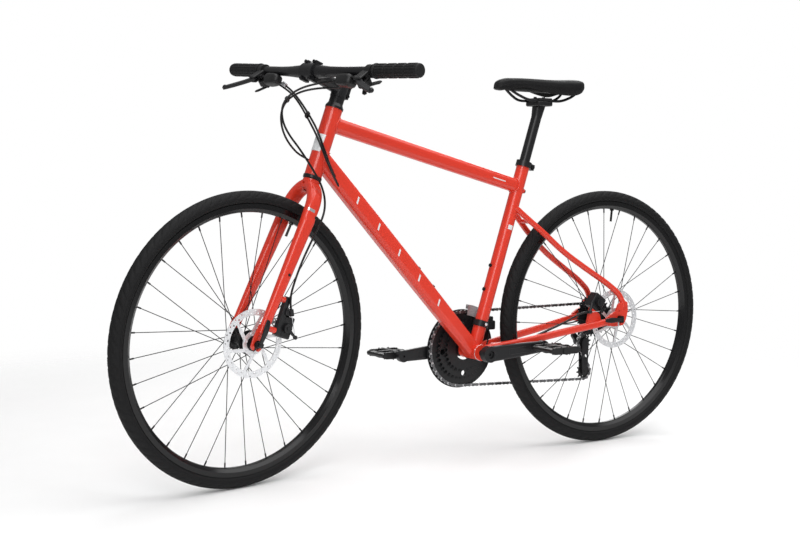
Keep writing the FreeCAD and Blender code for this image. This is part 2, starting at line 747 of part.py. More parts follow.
def fork_leg():
    bend = [(4, 395.5), (21, 386.5), (35.5, 369), (44, 340), (48, 305)]
    wires = []
    for index, (y, z) in enumerate(bend):
        before = bend[max(index - 1, 0)]
        after = bend[min(index + 1, len(bend) - 1)]
        way = V(0, after[0] - before[0], after[1] - before[1]).normalize()
        share = index / (len(bend) - 1)
        across = V(0, -way.z, way.y)
        wires.append(section(V(fork_line(z), y, z), across, AXIS_X, 13.5 - share, 19 - share, 11.5))
    lower = [wires[-1]]
    inner = FRONT_SPACING / 2
    for z, y, deep, wide in ((170, 51, 14.5, 10.5), (28, inner + 4.5, 11, 7.5)):
        lower.append(section(V(fork_line(z), y, z), V(0, 1, 0), AXIS_X, wide, deep, wide * 0.9))
    return joined([loft(wires), loft(lower, True)])


def fork_dropout():
    inner = FRONT_SPACING / 2
    outline = [(-13, 46), (9, 46), (14, 10), (14, -9), (8, -15), (-8, -15), (-14, -9), (-14, 10)]
    plate = plate_y([(FORK_RAKE + x, z) for x, z in outline], inner, inner + DROPOUT_THICKNESS)
    slot = AXLE_RADIUS + 0.05
    mouth = block(V(FORK_RAKE - slot, inner - 1, -40), V(FORK_RAKE + slot, inner + 9, 0))
    return plate.cut(disc_y(FRONT, inner - 1, inner + 9, slot)).cut(mouth)


POST_Y = 51.0
POST_Z = (43.0, 117.0)
POST_FACE = 10.0
EYELET_Z = 19.0


def fork():
    steerer = rod(V(0, 0, 390), V(0, 0, STEM_HIGH - 2), STEERER_RADIUS)
    crown = rod(V(0, 0, 386), V(0, 0, CROWN_HEIGHT), 20.5)
    race = rod(V(0, 0, CROWN_HEIGHT), V(0, 0, HEAD_TUBE_LOW - 9 - GAP), 18.5)
    left = joined([fork_leg(), fork_dropout()])
    right = mirrored(left)
    posts = [rod(V(fork_line(z) - 4, POST_Y, z), V(POST_FACE, POST_Y, z), 7.0) for z in POST_Z]
    body = joined([steerer, crown, race, left, right] + posts)
    body = body.cut(rod(V(0, 0, 380), V(0, 0, 700), STEERER_RADIUS - 2.6))
    body = body.cut(rod(V(-40, 0, 396), V(40, 0, 396), 3.2))
    for side in (-1, 1):
        inner = side * (FRONT_SPACING / 2 - 4)
        outer = side * (FRONT_SPACING / 2 + DROPOUT_THICKNESS + 4)
        body = body.cut(rod(V(FORK_RAKE + 2, inner, EYELET_Z), V(FORK_RAKE + 2, outer, EYELET_Z), 2.5))
    for z in POST_Z:
        body = body.cut(rod(V(POST_FACE - 1, POST_Y, z), V(POST_FACE + 12, POST_Y, z), 2.5))
    below = block(V(-200, -200, -100), V(200, 200, LEG_TOP))
    upper = body.cut(below)
    legs = body.common(below)
    save("fork", [steered(s) for s in upper.Solids + legs.Solids])


BAR_CENTRE = V(STEM_REACH, 0, BAR_HEIGHT)
BAR_KNEE = V(STEM_REACH, BAR_BEND, BAR_HEIGHT)
BAR_END = V(STEM_REACH - BAR_BACK, BAR_HALF, BAR_HEIGHT + BAR_RISE)
bar_along = V(BAR_END - BAR_KNEE).normalize()


def bar_point(y):
    return BAR_KNEE + bar_along * ((y - BAR_BEND) / bar_along.y)


def stem():
    middle = (STEM_LOW + STEM_HIGH) / 2
    steer_clamp = rod(V(0, 0, STEM_LOW), V(0, 0, STEM_HIGH), 18.8)
    arm = taper(V(4, 0, middle), V(STEM_REACH - 6, 0, BAR_HEIGHT), 16.5, 17.5)
    bar_clamp = rod(BAR_CENTRE - AXIS_Y * 23, BAR_CENTRE + AXIS_Y * 23, 21)
    ears = [block(V(-26, -8, STEM_LOW + 4), V(-12, 8, STEM_HIGH - 4))]
    for side in (-1, 1):
        for level in (-1, 1):
            low = V(STEM_REACH - 9, side * 15.5 - 6, BAR_HEIGHT + level * 19.5 - 5)
            ears.append(block(low, low + V(20, 12, 10)))
    whole = joined([steer_clamp, arm, bar_clamp] + ears)
    whole = whole.cut(rod(V(0, 0, 500), V(0, 0, 800), STEERER_RADIUS + 0.02))
    whole = whole.cut(rod(BAR_CENTRE - AXIS_Y * 60, BAR_CENTRE + AXIS_Y * 60, BAR_CLAMP_RADIUS + 0.02))
    whole = whole.cut(block(V(-40, -1, 600), V(-8, 1, 700)))
    split = STEM_REACH + 1.2
    whole = whole.cut(block(V(split, -40, 560), V(split + 1.4, 40, 720)))
    bolts = []
    for side in (-1, 1):
        for level in (-1, 1):
            spot = V(STEM_REACH + 11, side * 15.5, BAR_HEIGHT + level * 20.5)
            bolts.append(bolt(spot, AXIS_X, 17.0, 4.2, 4.0))
    for z in (STEM_LOW + 11, STEM_HIGH - 10):
        bolts.append(bolt(V(-21.0, 8, z), AXIS_Y, 14.0, 4.0, 4.0))
    whole = whole.cut(Part.makeCompound(bolts))
    cap = joined([rod(V(0, 0, STEM_HIGH + 0.1), V(0, 0, STEM_HIGH + 4), 17.0),
                  rod(V(0, 0, STEM_HIGH + 4), V(0, 0, STEM_HIGH + 6.5), 4.5)])
    cone = taper(V(0, 0, HEAD_TUBE_HIGH + 5 + GAP), V(0, 0, HEAD_TUBE_HIGH + 13), 22.0, 18.0)
    spacer = rod(V(0, 0, HEAD_TUBE_HIGH + 13), V(0, 0, STEM_LOW - 0.05), 17.6)
    hole = rod(V(0, 0, 500), V(0, 0, STEM_LOW), STEERER_RADIUS + 0.02)
    stack = joined([cone, spacer]).cut(hole)
    save("stem", [steered(s) for s in whole.Solids + bolts + [cap, stack]])


def bar_half(shrink):
    shoulder = BAR_CENTRE + AXIS_Y * 30
    knee_radius = 12.6 - shrink
    share = BAR_KNEE + (BAR_END - BAR_KNEE) * 0.16
    pieces = [rod(BAR_CENTRE, shoulder, BAR_CLAMP_RADIUS - shrink),
              taper(shoulder, BAR_KNEE, BAR_CLAMP_RADIUS - shrink, knee_radius),
              Part.makeSphere(knee_radius, BAR_KNEE),
              taper(BAR_KNEE, share, knee_radius, BAR_RADIUS - shrink),
              rod(share, BAR_END, BAR_RADIUS - shrink)]
    return joined(pieces)


def handlebar():
    outer = bar_half(0)
    inner = bar_half(2.2)
    outer = joined([outer, mirrored(outer)])
    inner = joined([inner, mirrored(inner)])
    save("handlebar", steered(outer.cut(inner)))


def grips():
    start = BAR_END - bar_along * GRIP_LENGTH
    tip = BAR_END + bar_along * 4
    body = joined([rod(start, tip, GRIP_RADIUS), rod(start, start + bar_along * 4, GRIP_RADIUS + 1.8)])
    body = softened(body, 2.5, lambda e: (e.CenterOfMass - tip).Length < 3 and e.BoundBox.ZLength > 20)
    for share in (0.27, 0.5, 0.73):
        spot = start + bar_along * (GRIP_LENGTH * share)
        body = body.cut(sleeve(spot, spot + bar_along * 1.8, GRIP_RADIUS + 3, GRIP_RADIUS - 0.9))
    body = body.cut(rod(start - bar_along * 5, BAR_END, BAR_RADIUS + 0.02))
    save("grips", [steered(body), steered(mirrored(body))])


# Brake and shift controls, in axes p (bar to lever), q (outward along the bar) and n
control_origin = bar_point(CONTROL_OFFSET)
reach_way = V(0.61, 0, -0.79)
p_axis = V(reach_way - bar_along * reach_way.dot(bar_along)).normalize()
n_axis = p_axis.cross(bar_along)
control_place = FreeCAD.Placement(FreeCAD.Matrix(
    p_axis.x, bar_along.x, n_axis.x, control_origin.x,
    p_axis.y, bar_along.y, n_axis.y, control_origin.y,
    p_axis.z, bar_along.z, n_axis.z, control_origin.z,
    0, 0, 0, 1))
LEVER_PIVOT = V(36, -8, 0)
POD_CENTRE = V(18, -17, 0)


def save_control(name, shapes):
    left = [placed(s, control_place) for s in shapes]
    save("left_" + name, [steered(s) for s in left])
    save("right_" + name, [steered(mirrored(s)) for s in left])


def controls():
    ring = rod(V(0, -8, 0), V(0, 8, 0), 15.5)
    perch = softened(block(V(8, -18, -8.5), V(44, 5, 8.5)), 3.0)
    adjuster = rod(V(26, -30, 0), V(26, -16, 0), 4.2)
    neck = block(V(2, -24, -14), V(24, -5, -6))
    pod = softened(rod(POD_CENTRE + AXIS_Z * -26, POD_CENTRE + AXIS_Z * -10, 16.5), 2.5)
    outlet = rod(POD_CENTRE + V(2, -26, -18), POD_CENTRE + V(2, -10, -18), 4.0)
    post = rod(POD_CENTRE + AXIS_Z * -36, POD_CENTRE + AXIS_Z * -25, 3.0)
    body = joined([ring, perch, adjuster, neck, pod, outlet, post])
    body = body.cut(block(V(25, -40, -4.4), V(60, 20, 4.4)).cut(block(V(20, -40, -5), V(31, -17, 5))))
    body = body.cut(rod(V(0, -60, 0), V(0, 60, 0), BAR_RADIUS + 0.03))
    pin = rod(LEVER_PIVOT - AXIS_Z * 8, LEVER_PIVOT + AXIS_Z * 8, 3.0)
    body = joined([body, pin])
    left = placed(body, control_place)
    save("control_bodies", [steered(left), steered(mirrored(left))])
    outline = [(30, -12), (42, -15), (52, -1), (61, 12), (75, 36), (85, 57), (90, 70), (81, 74),
               (74, 62), (62, 40), (49, 18), (38, 4), (30, -3)]
    blade = softened(plate_z(outline, -4.0, 4.0), 1.5)
    ball = Part.makeSphere(6.0, V(82, 70, 0))
    lever = joined([blade, ball]).cut(rod(LEVER_PIVOT - AXIS_Z * 9, LEVER_PIVOT + AXIS_Z * 9, 3.0 + RUNNING))
    save_control("brake_lever", [lever])
    low = -29.6
    hub = rod(POD_CENTRE + AXIS_Z * low, POD_CENTRE + AXIS_Z * -26.3, 9.0)
    arm = [(12, -24), (24, -18), (20, -8), (10, 6), (6, 16), (-4, 15), (-6, 8), (0, -6)]
    thumb = joined([hub, softened(plate_z(arm, low, -26.3), 0.8)])
    save_control("shift_lever", [thumb.cut(rod(POD_CENTRE + AXIS_Z * -40, POD_CENTRE, 3.0 + RUNNING))])
    low = -33.4
    hub = rod(POD_CENTRE + AXIS_Z * low, POD_CENTRE + AXIS_Z * -30.0, 7.5)
    arm = [(16, -23), (28, -20), (44, -8), (48, 2), (42, 5), (34, -2), (18, -10)]
    trigger = joined([hub, softened(plate_z(arm, low, -30.0), 0.8)])
    save_control("release_trigger", [trigger.cut(rod(POD_CENTRE + AXIS_Z * -40, POD_CENTRE, 3.0 + RUNNING))])


# Disc calipers
ROTOR_SLOT = 0.8
ARM_PIVOT = V(-16, 0, 56)
ARM_END = V(-44, 62, 42)
STOP_TOP = V(-9, 62, 100)
pull_way = V(STOP_TOP - ARM_END).normalize()


def brake_arm(pivot, end, low, high):
    """Arm plate in the XZ plane with a round boss at the pivot and a cable anchor at its end."""
    along = V(end.x - pivot.x, 0, end.z - pivot.z)
    side = V(-along.z, 0, along.x).normalize()
    near = V(pivot.x, 0, pivot.z)
    far = V(end.x, 0, end.z)
    outline = [near + side * 5, far + side * 2.2, far - side * 2.2, near - side * 5]
    web = plate_y([(p.x, p.z) for p in outline], low, high)
    boss = disc_y(near, low, high + 1.5, 11)
    anchor = disc_y(far, low, high + 1, 5)
    screw = disc_y(near, high + 1.5, high + 3, 4)
    return joined([web, boss, anchor, screw])


def front_caliper():
    seat_y = FRONT_ROTOR_SEAT
    body = softened(block(V(-34, 27, 32), V(-2, 57, 84)), 4.0)
    slot = disc_y(FRONT, seat_y - ROTOR_SLOT, seat_y + ROTOR_THICKNESS + ROTOR_SLOT, ROTOR_RADIUS + 4)
    back = softened(block(V(-4, 44, POST_Z[0] - 9), V(POST_FACE, 58, POST_Z[1] + 9)), 2.0)
    boss = disc_y(ARM_PIVOT, 56, 60, 11.5)
    lug = softened(block(V(-17, 46, 84), V(2, 62, 101)), 2.0)
    barrel = rod(STOP_TOP, STOP_TOP - pull_way * 15, 5.5)
    hole = rod(STOP_TOP + pull_way * 5, STOP_TOP - pull_way * 25, 1.2)
    mouth = rod(STOP_TOP, STOP_TOP + pull_way * 12, 5.5)
    bolts = [bolt(V(-4, POST_Y, z), V(-1, 0, 0), POST_FACE + 4 + 9, 4.2, 4.0) for z in POST_Z]
    holes = Part.makeCompound(bolts + [slot, hole])
    shape = joined([body, back, boss, lug.cut(mouth), barrel]).cut(holes)
    save("front_caliper", [steered(s) for s in shape.Solids + bolts])
    arm = brake_arm(ARM_PIVOT, ARM_END, 60.3, 63.8)
    save("front_brake_arm", steered(arm))


REAR_CALIPER_TILT = 35.0
rear_caliper_place = FreeCAD.Placement(REAR, FreeCAD.Rotation(AXIS_Y, -REAR_CALIPER_TILT))
REAR_ARM_PIVOT = rear_caliper_place.multVec(V(84, 0, 0))
REAR_ARM_END = REAR_ARM_PIVOT + V(-6, 71, -24)
REAR_STOP = V(rear_x + 108, 71, REAR_ARM_END.z)


def rear_caliper_block():
    return placed(softened(block(V(63, 38, -22), V(104, 66, 20)), 4.0), rear_caliper_place)


def rear_caliper_solid():
    seat_y = REAR_ROTOR_SEAT
    slot = disc_y(REAR, seat_y - ROTOR_SLOT, seat_y + ROTOR_THICKNESS + ROTOR_SLOT, ROTOR_RADIUS + 4)
    boss = disc_y(REAR_ARM_PIVOT, 65, 69, 11.5)
    holder = rod(rear_caliper_place.multVec(V(99, 61, -10)), REAR_STOP + V(-4, 0, 0), 4.0)
    stop = rod(REAR_STOP - AXIS_X * 8, REAR_STOP + AXIS_X * 4, 5.0)
    hole = rod(REAR_STOP - AXIS_X * 20, REAR_STOP + AXIS_X * 20, 1.2)
    return joined([rear_caliper_block(), boss, holder, stop]).cut(slot).cut(hole)


def rear_caliper():
    save("rear_caliper", rear_caliper_solid())
    save("rear_brake_arm", brake_arm(REAR_ARM_PIVOT, REAR_ARM_END, 69.3, 72.8))


# Cable housings: control points chosen along the visible route
def control_point(p, q, n, side=1):
    spot = control_place.multVec(V(p, q, n))
    return V(spot.x, side * spot.y, spot.z)


PORT_RUNS = (
    (on_head(V(-20, 28, 452)), on_head(V(-64, 10, 424))),
    (on_head(V(-34, 28, 436)), on_head(V(-78, 10, 410))),
    (on_head(V(-26, -28, 444)), on_head(V(-70, -10, 417))),
)


def steer_cables():
    right_brake = [control_point(26, -30, 0, -1), control_point(26, -52, 0, -1), V(82, -114, 617),
                   V(77, -76, 601), V(70, -42, 579), V(61, -7, 551), V(46, 20, 522), V(27, 34, 491),
                   V(2, 36, 465)]
    right_shift = [control_point(20, -43, -18, -1), control_point(20, -65, -18, -1), V(75, -105, 606),
                   V(69, -75, 592), V(63, -44, 570), V(56, -10, 541), V(44, 20, 510), V(26, 38, 479),
                   V(2, 41, 454)]
    left_shift = [control_point(20, -43, -18), control_point(20, -65, -18), V(71, 96, 615), V(74, 62, 612),
                  V(89, 34, 604), V(112, 15, 588), V(132, 6, 566), V(142, 2, 542), V(138, -2, 518),
                  V(122, -8, 496), V(97, -17, 479), V(66, -27, 467), V(33, -35, 459), V(0, -36, 458)]
    cables = []
    for name, points, run in (("rear brake housing", right_brake, PORT_RUNS[0]),
                              ("rear shift housing", right_shift, PORT_RUNS[1]),
                              ("front shift housing", left_shift, PORT_RUNS[2])):
        route = [on_steer(p) for p in points] + [run[0], run[1]]
        cables.append(tube_along(route, CABLE_RADIUS, name))
    save("control_cables", cables)


def front_brake_cable():
    points = [control_point(26, -30, 0), control_point(26, -52, 0), V(80, 102, 628), V(80, 64, 625),
              V(94, 36, 614), V(118, 20, 595), V(139, 13, 571), V(150, 10, 545), V(146, 10, 520),
              V(132, 12, 498), V(109, 16, 479), V(80, 24, 461), V(50, 32, 439), V(22, 39, 417),
              V(2, 47, 397), V(-14, 54, 370), V(-21, 58, 338), V(-14, 61, 300), V(-4, 63, 258),
              V(3, 63, 214), V(6, 62.5, 168), STOP_TOP + pull_way * 26, STOP_TOP]
    housing = tube_along(points, CABLE_RADIUS, "front brake housing")
    wire = rod(STOP_TOP, ARM_END + pull_way * 8.0, 0.8)
    save("front_brake_cable", [steered(housing), steered(wire)])


def rear_cables():
    hose = [BRAKE_EXIT[0], BRAKE_EXIT[1], stay_spot(0.57, 52, 22), stay_spot(0.64, 62, 34),
            REAR_STOP + V(22, 0, 0), REAR_STOP + V(4, 0, 0)]
    brake = tube_along(hose, CABLE_RADIUS, "rear brake hose")
    wire = rod(REAR_STOP + V(4, 0, 0), V(REAR_ARM_END.x + 5.2, REAR_ARM_END.y, REAR_ARM_END.z), 0.8)
    loop = [SHIFT_EXIT[0], SHIFT_EXIT[1], REAR + V(14, -88, -22), REAR + V(-58, -95, -16),
            LINK_ROOT + V(-40, -83, -1), LINK_ROOT + V(-9.3, -80.5, 0)]
    shift = tube_along(loop, SHIFT_CABLE_RADIUS, "rear shift housing")
    climb = [BB + V(0, -3, -21.9), BB + V(-26, -4, -19.5), BB + V(-46, -8, 4), BB + V(-62, -18, 26),
             BB + V(-62, -18, 50)]
    front = tube_along(climb, 1.8, "front shift housing")
    save("rear_cables", [brake, wire, shift, front])


# Crank set, around the bottom bracket with the right arm along +X
def crank_arm(side):
    middle = side * 71.0
    wires = []
    for x, y, tall in ((8, middle - side * 1.5, 19.5), (60, middle, 18.8), (120, middle + side * 1.2, 16.6),
                       (CRANK_LENGTH - 6, middle + side * 2.5, 14.6)):
        wires.append(section(V(x, y, 0), AXIS_Y, AXIS_Z, 6.6, tall, 4.5))
    eye = V(CRANK_LENGTH, 0, 0)
    low, high = sorted((side * 66.0, side * 81.0))
    hub_low, hub_high = sorted((side * 57.8, side * 78.0))
    body = joined([loft(wires), disc_y(eye, low, high, 15.5), disc_y(ORIGIN, hub_low, hub_high, 20.5)])
    for face in (side * 65.0, side * 78.8):
        pocket = softened(block(V(58, face - 1.8, -8.5), V(128, face + 1.8, 8.5)), 1.6)
        body = body.cut(pocket)
    bolt_low, bolt_high = sorted((side * 70.0, side * 80.0))
    body = body.cut(disc_y(ORIGIN, bolt_low, bolt_high, 10.5))
    body = body.cut(disc_y(ORIGIN, -90, 90, SPINDLE_RADIUS))
    axle_low, axle_high = sorted((side * 66.0, side * 84.0))
    spindle_low, spindle_high = sorted((side * 84.0, side * 168.0))
    pedal_axle = joined([disc_y(eye, axle_low, axle_high, 7.0), disc_y(eye, spindle_low, spindle_high, 6.0)])
    body = body.cut(pedal_axle)
    pedal_axle = pedal_axle.cut(disc_y(eye, *sorted((side * 65.0, side * 70.0)), 3.0))
    cap_low, cap_high = sorted((side * 70.0, side * 73.5))
    cap = disc_y(ORIGIN, cap_low, cap_high, 10.5).cut(disc_y(ORIGIN, -80, 80, 4.0))
    return body, pedal_axle, cap


def crank_pose(shape):
    return moved(turned(shape, ORIGIN, AXIS_Y, CRANK_REST), BB)


def ring_y_of(index):
    return CHAIN_PLANE + RING_STEP * index


def cranks(ring_phase):
    spindle = disc_y(ORIGIN, -70, 70, SPINDLE_RADIUS)
    save("crank_spindle", crank_pose(spindle))
    body, axle, cap = crank_arm(1)
    save("left_crank", [crank_pose(turned(s, ORIGIN, AXIS_Y, 180)) for s in (body, axle, cap)])
    body, axle, cap = crank_arm(-1)
    spider = [body]
    bolts = []
    for index in range(4):
        angle = 45 + 90 * index
        out = polar(1, angle, 0)
        side = V(-out.z, 0, out.x) * 7.5
        outline = [out * 8 + side, out * 58 + side * 0.8, out * 58 - side * 0.8, out * 8 - side]
        spider.append(plate_y([(p.x, p.z) for p in outline], -61.0, -57.8))
        spider.append(disc_y(out * 52, -61.0, ring_y_of(0) - 0.95, 7.0))
        spider.append(disc_y(out * 34, -58.5, ring_y_of(2) - 0.95, 4.5))
        bolts.append(joined([disc_y(out * 52, -62.0, ring_y_of(1) + 0.95, 4.2),
                             disc_y(out * 52, ring_y_of(1) + 0.95, ring_y_of(1) + 2.4, 5.5)]))
    arm = joined(spider).cut(Part.makeCompound(bolts)).cut(disc_y(ORIGIN, -72, 72, SPINDLE_RADIUS))
    save("right_crank", [crank_pose(s) for s in (arm, axle, cap)])
    rings = []
    for index, teeth in enumerate(RING_TEETH):
        bore = (44, 44, 27)[index]
        ring = turned(sprocket(teeth, 0.95, bore), ORIGIN, AXIS_Y, -ring_phase - CRANK_REST)
        ring = moved(ring, V(0, ring_y_of(index), 0))
        windows = [disc_y(polar(64, 90 * k, 0), -80, 0, 7.5) for k in range(4)]
        ring = ring.cut(Part.makeCompound(windows)) if index < 2 else ring
        rings.append(ring.cut(Part.makeCompound(bolts)))
    collars = []
    for index in range(4):
        spot = polar(52, 45 + 90 * index, 0)
        collars.append(ring_y(spot, ring_y_of(0) + 0.95, ring_y_of(1) - 0.95, 6.2, 4.2))
    guard = ring_y(ORIGIN, -60.6, -58.3, 103.5, 82)
    studs = [disc_y(polar(86, 22.5 + 45 * k, 0), -59.0, ring_y_of(0) - 0.95, 3.0) for k in range(8)]
    guard = joined([guard] + studs)
    save("chainrings", [crank_pose(s) for s in rings + collars + bolts + [guard]])


def pedal(side):
    eye = V(CRANK_LENGTH, 0, 0)

    def at(low, high):
        return sorted((side * low, side * high))

    low, high = at(87, 172)
    pieces = [disc_y(ORIGIN, low, high, 10.5)]
    for sign in (-1, 1):
        outline = [(sign * 36, -7), (sign * 47, -5), (sign * 49, 0), (sign * 47, 5), (sign * 36, 7)]
        low, high = at(92, 170)
        pieces.append(plate_y(outline, low, high))
    outline = [(-48, -4), (-36, -9), (36, -9), (48, -4), (48, 4), (36, 9), (-36, 9), (-48, 4)]
    for near, far in ((92, 99), (126, 133), (162, 170)):
        low, high = at(near, far)
        pieces.append(plate_y(outline, low, high))
    for x in (-41, -14, 14, 41):
        for y in (95.5, 166):
            for level in (-1, 1):
                foot = 9 if abs(x) < 36 else 6
                base = V(x, side * y, level * (foot - 1.5))
                pieces.append(rod(base, base + V(0, 0, level * 4.0), 1.8))
    body = joined(pieces)
    low, high = at(80, 168.3)
    body = body.cut(disc_y(ORIGIN, low, high, 6.0 + RUNNING))
    centre = turned(Part.Vertex(eye * side * -1), ORIGIN, AXIS_Y, CRANK_REST).Point
    return moved(body, BB + centre)


# Chain loop in the XZ plane: every circle is (centre, radius, turning sense)
def flat(point):
    return complex(point.x, point.z)


def tangent(first, second):
    a, ra, sa = first
    b, rb, sb = second
    gap = b - a
    offset = sb * rb - sa * ra
    length = math.sqrt(abs(gap) ** 2 - offset ** 2)
    way = gap / complex(length, offset)
    normal = way * 1j
    return a - sa * ra * normal, b - sb * rb * normal, length


def loop_spans(cage_degrees):
    guide = flat(GUIDE)
    tension = guide + CAGE_LENGTH * cmath.exp(1j * math.radians(cage_degrees))
    pulley = pitch_radius(PULLEY_TEETH)
    circles = [(flat(BB), pitch_radius(RING_TEETH[0]), 1, RING_TEETH[0]),
               (flat(REAR), pitch_radius(COG_TEETH[COG_IN_USE]), 1, COG_TEETH[COG_IN_USE]),
               (guide, pulley, -1, PULLEY_TEETH), (tension, pulley, 1, PULLEY_TEETH)]
    lines = [tangent(circles[i][:3], circles[(i + 1) % 4][:3]) for i in range(4)]
    spans = []
    for index in range(4):
        start, end, length = lines[index]
        spans.append(("line", start, end, length))
        centre, radius, sense, teeth = circles[(index + 1) % 4]
        leave = lines[(index + 1) % 4][0]
        first = cmath.phase(end - centre)
        sweep = (sense * (cmath.phase(leave - centre) - first)) % (2 * math.pi)
        run = sweep * CHAIN_PITCH * teeth / (2 * math.pi)
        spans.append(("arc", centre, radius, sense, first, sweep, run))
    return spans, tension


def loop_length(cage_degrees):
    spans = loop_spans(cage_degrees)[0]
    return sum(span[-1] for span in spans)


def loop_point(spans, distance):
    for span in spans:
        if distance <= span[-1]:
            share = distance / span[-1]
            if span[0] == "line":
                return span[1] + (span[2] - span[1]) * share
            angle = span[4] + span[3] * span[5] * share
            return span[1] + span[2] * cmath.exp(1j * angle)
        distance -= span[-1]
    return spans[0][1]


GUIDE = V(rear_x + GUIDE_FORWARD, 0, TYRE_RADIUS - GUIDE_DROP)


def solve_cage():
    low, high = -120.0, -60.0
    links = 2 * round(loop_length(-88.0) / CHAIN_PITCH / 2)
    target = links * CHAIN_PITCH
    rising = loop_length(high) > loop_length(low)
    for _ in range(60):
        middle = (low + high) / 2
        if (loop_length(middle) > target) == rising:
            high = middle
        else:
            low = middle
    return (low + high) / 2, links


def link_plate(low, high, radius):
    half = CHAIN_PITCH / 2
    ends = [disc_y(V(x, 0, 0), low, high, radius) for x in (-half, half)]
    waist = block(V(-half, low, -radius * 0.72), V(half, high, radius * 0.72))
    return joined(ends + [waist])


def chain_links(spans, links):
    half = CHAIN_PITCH / 2
    outer = [link_plate(-3.4, -2.4, 4.1), link_plate(2.4, 3.4, 4.1)]
    outer += [disc_y(V(x, 0, 0), -3.7, 3.7, 1.75) for x in (-half, half)]
    outer = joined(outer)
    inner = [link_plate(-2.3, -1.3, 4.1), link_plate(1.3, 2.3, 4.1)]
    inner += [disc_y(V(x, 0, 0), -1.5, 1.5, ROLLER_RADIUS) for x in (-half, half)]
    inner = joined(inner)
    inner = inner.cut(Part.makeCompound([disc_y(V(x, 0, 0), -9, 9, 1.95) for x in (-half, half)]))
    pins = [loop_point(spans, CHAIN_PITCH * index) for index in range(links)]
    chain = []
    for index in range(links):
        first = pins[index]
        second = pins[(index + 1) % links]
        middle = (first + second) / 2
        degrees = math.degrees(cmath.phase(second - first))
        link = inner if index % 2 else outer
        link = turned(link, ORIGIN, AXIS_Y, -degrees)
        chain.append(moved(link, V(middle.real, CHAIN_PLANE, middle.imag)))
    return chain


def drivetrain():
    cage_degrees, links = solve_cage()
    spans, tension = loop_spans(cage_degrees)
    save("chain", chain_links(spans, links))
    phase = {}
    names = ("ring", "cog", "guide", "tension")
    for name, span in zip(names, (spans[7], spans[1], spans[3], spans[5])):
        total = 0
        for earlier in spans[:spans.index(span)]:
            total += earlier[-1]
        steps = math.ceil(total / CHAIN_PITCH + 1)
        pin = loop_point(spans, steps * CHAIN_PITCH)
        phase[name] = math.degrees(cmath.phase(pin - span[1]))
    print("links", links, "cage angle", round(cage_degrees, 3))
    cranks(phase["ring"])
    for side, name in ((1, "left_pedal"), (-1, "right_pedal")):
        save(name, pedal(side))
    stack = []
    for index, teeth in enumerate(COG_TEETH):
        y = CHAIN_PLANE + COG_STEP * (index - COG_IN_USE)
        cog = turned(sprocket(teeth, 0.9, FREEHUB_RADIUS + 0.1), ORIGIN, AXIS_Y, -phase["cog"])
        stack.append(moved(cog, V(0, y, 0)))
        if index:
            stack.append(ring_y(ORIGIN, y - COG_STEP + 0.9, y - 0.9, 19.5, FREEHUB_RADIUS + 0.1))
    outer_y = CHAIN_PLANE - COG_STEP * COG_IN_USE - 0.9
    stack.append(ring_y(ORIGIN, outer_y - 1.5, outer_y, 18.5, 9.2))
    save("cassette", moved(joined(stack), REAR))
    for name, spot in (("guide", flat(GUIDE)), ("tension", tension)):
        toothed = sprocket(PULLEY_TEETH, 0.9, 5, 1.6, 0.4)
        wheel_body = joined([toothed, ring_y(ORIGIN, -3.4, 3.4, 11, 4)])
        wheel_body = wheel_body.cut(disc_y(ORIGIN, -5, 5, 3.0 + RUNNING))
        holes = [disc_y(polar(14.5, 72 * k, 0), -2, 2, 1.6) for k in range(5)]
        wheel_body = turned(wheel_body.cut(Part.makeCompound(holes)), ORIGIN, AXIS_Y, -phase[name])
        save(name + "_pulley", moved(wheel_body, V(spot.real, CHAIN_PLANE, spot.imag)))
    rear_derailleur(V(tension.real, 0, tension.imag))


LINK_ROOT = HANGER + V(-14, 0, -22)
LINK_TIP = GUIDE + V(14, 0, 15)


def bar_plate(first, last, near_radius, far_radius, low, high):
    along = V(last.x - first.x, 0, last.z - first.z).normalize()
    side = V(-along.z, 0, along.x)
    outline = [first + side * near_radius, last + side * far_radius, last - side * far_radius,
               first - side * near_radius]
    web = plate_y([(p.x, p.z) for p in outline], low, high)
    return joined([web, disc_y(first, low, high, near_radius), disc_y(last, low, high, far_radius)])


def rear_derailleur(tension):
    face = -REAR_SPACING / 2 - DROPOUT_THICKNESS
    shaft = disc_y(HANGER, face, face + DROPOUT_THICKNESS - 0.2, 4.9)
    knuckle = disc_y(HANGER, face - 13, face - 0.1, 11.5)
    drop = bar_plate(HANGER, LINK_ROOT, 9, 9, face - 12, face - 2)
    recess = disc_y(HANGER, face - 14, face - 10, 3.0)
    save("rd_mount", joined([disc_y(HANGER, face - 5, face, 4.9), shaft, knuckle, drop]).cut(recess))
    along = V(LINK_TIP - LINK_ROOT).normalize()
    links = []
    for low, high in ((face - 11.5, face - 8.5), (face - 5.5, face - 2.5)):
        web = bar_plate(LINK_ROOT + along * 16, LINK_TIP - along * 22.5, 5, 5, low, high)
        links.append(web)
    links.append(bar_plate(LINK_ROOT + along * 17, LINK_TIP - along * 23.5, 3, 3, face - 8.5, face - 5.5))
    save("rd_links", joined(links))
    outer_low, outer_high = CHAIN_PLANE - 7.8, CHAIN_PLANE - 6.2
    inner_low, inner_high = CHAIN_PLANE + 6.2, CHAIN_PLANE + 7.6
    pieces = [bar_plate(LINK_TIP, GUIDE, 7.5, 9, face - 12, face - 2),
              disc_y(GUIDE, face - 12, outer_high, 12.5),
              bar_plate(GUIDE, tension, 12, 10, outer_low, outer_high),
              bar_plate(GUIDE, tension, 12, 10, inner_low, inner_high),
              disc_y(GUIDE, outer_high, inner_high, 3.0), disc_y(tension, outer_low - 1, inner_high + 1, 3.0)]
    cage = joined(pieces)
    middle = (GUIDE + tension) * 0.5
    window = disc_y(middle, inner_low - 1, inner_high + 1, 6.0)
    save("rd_cage", cage.cut(window))


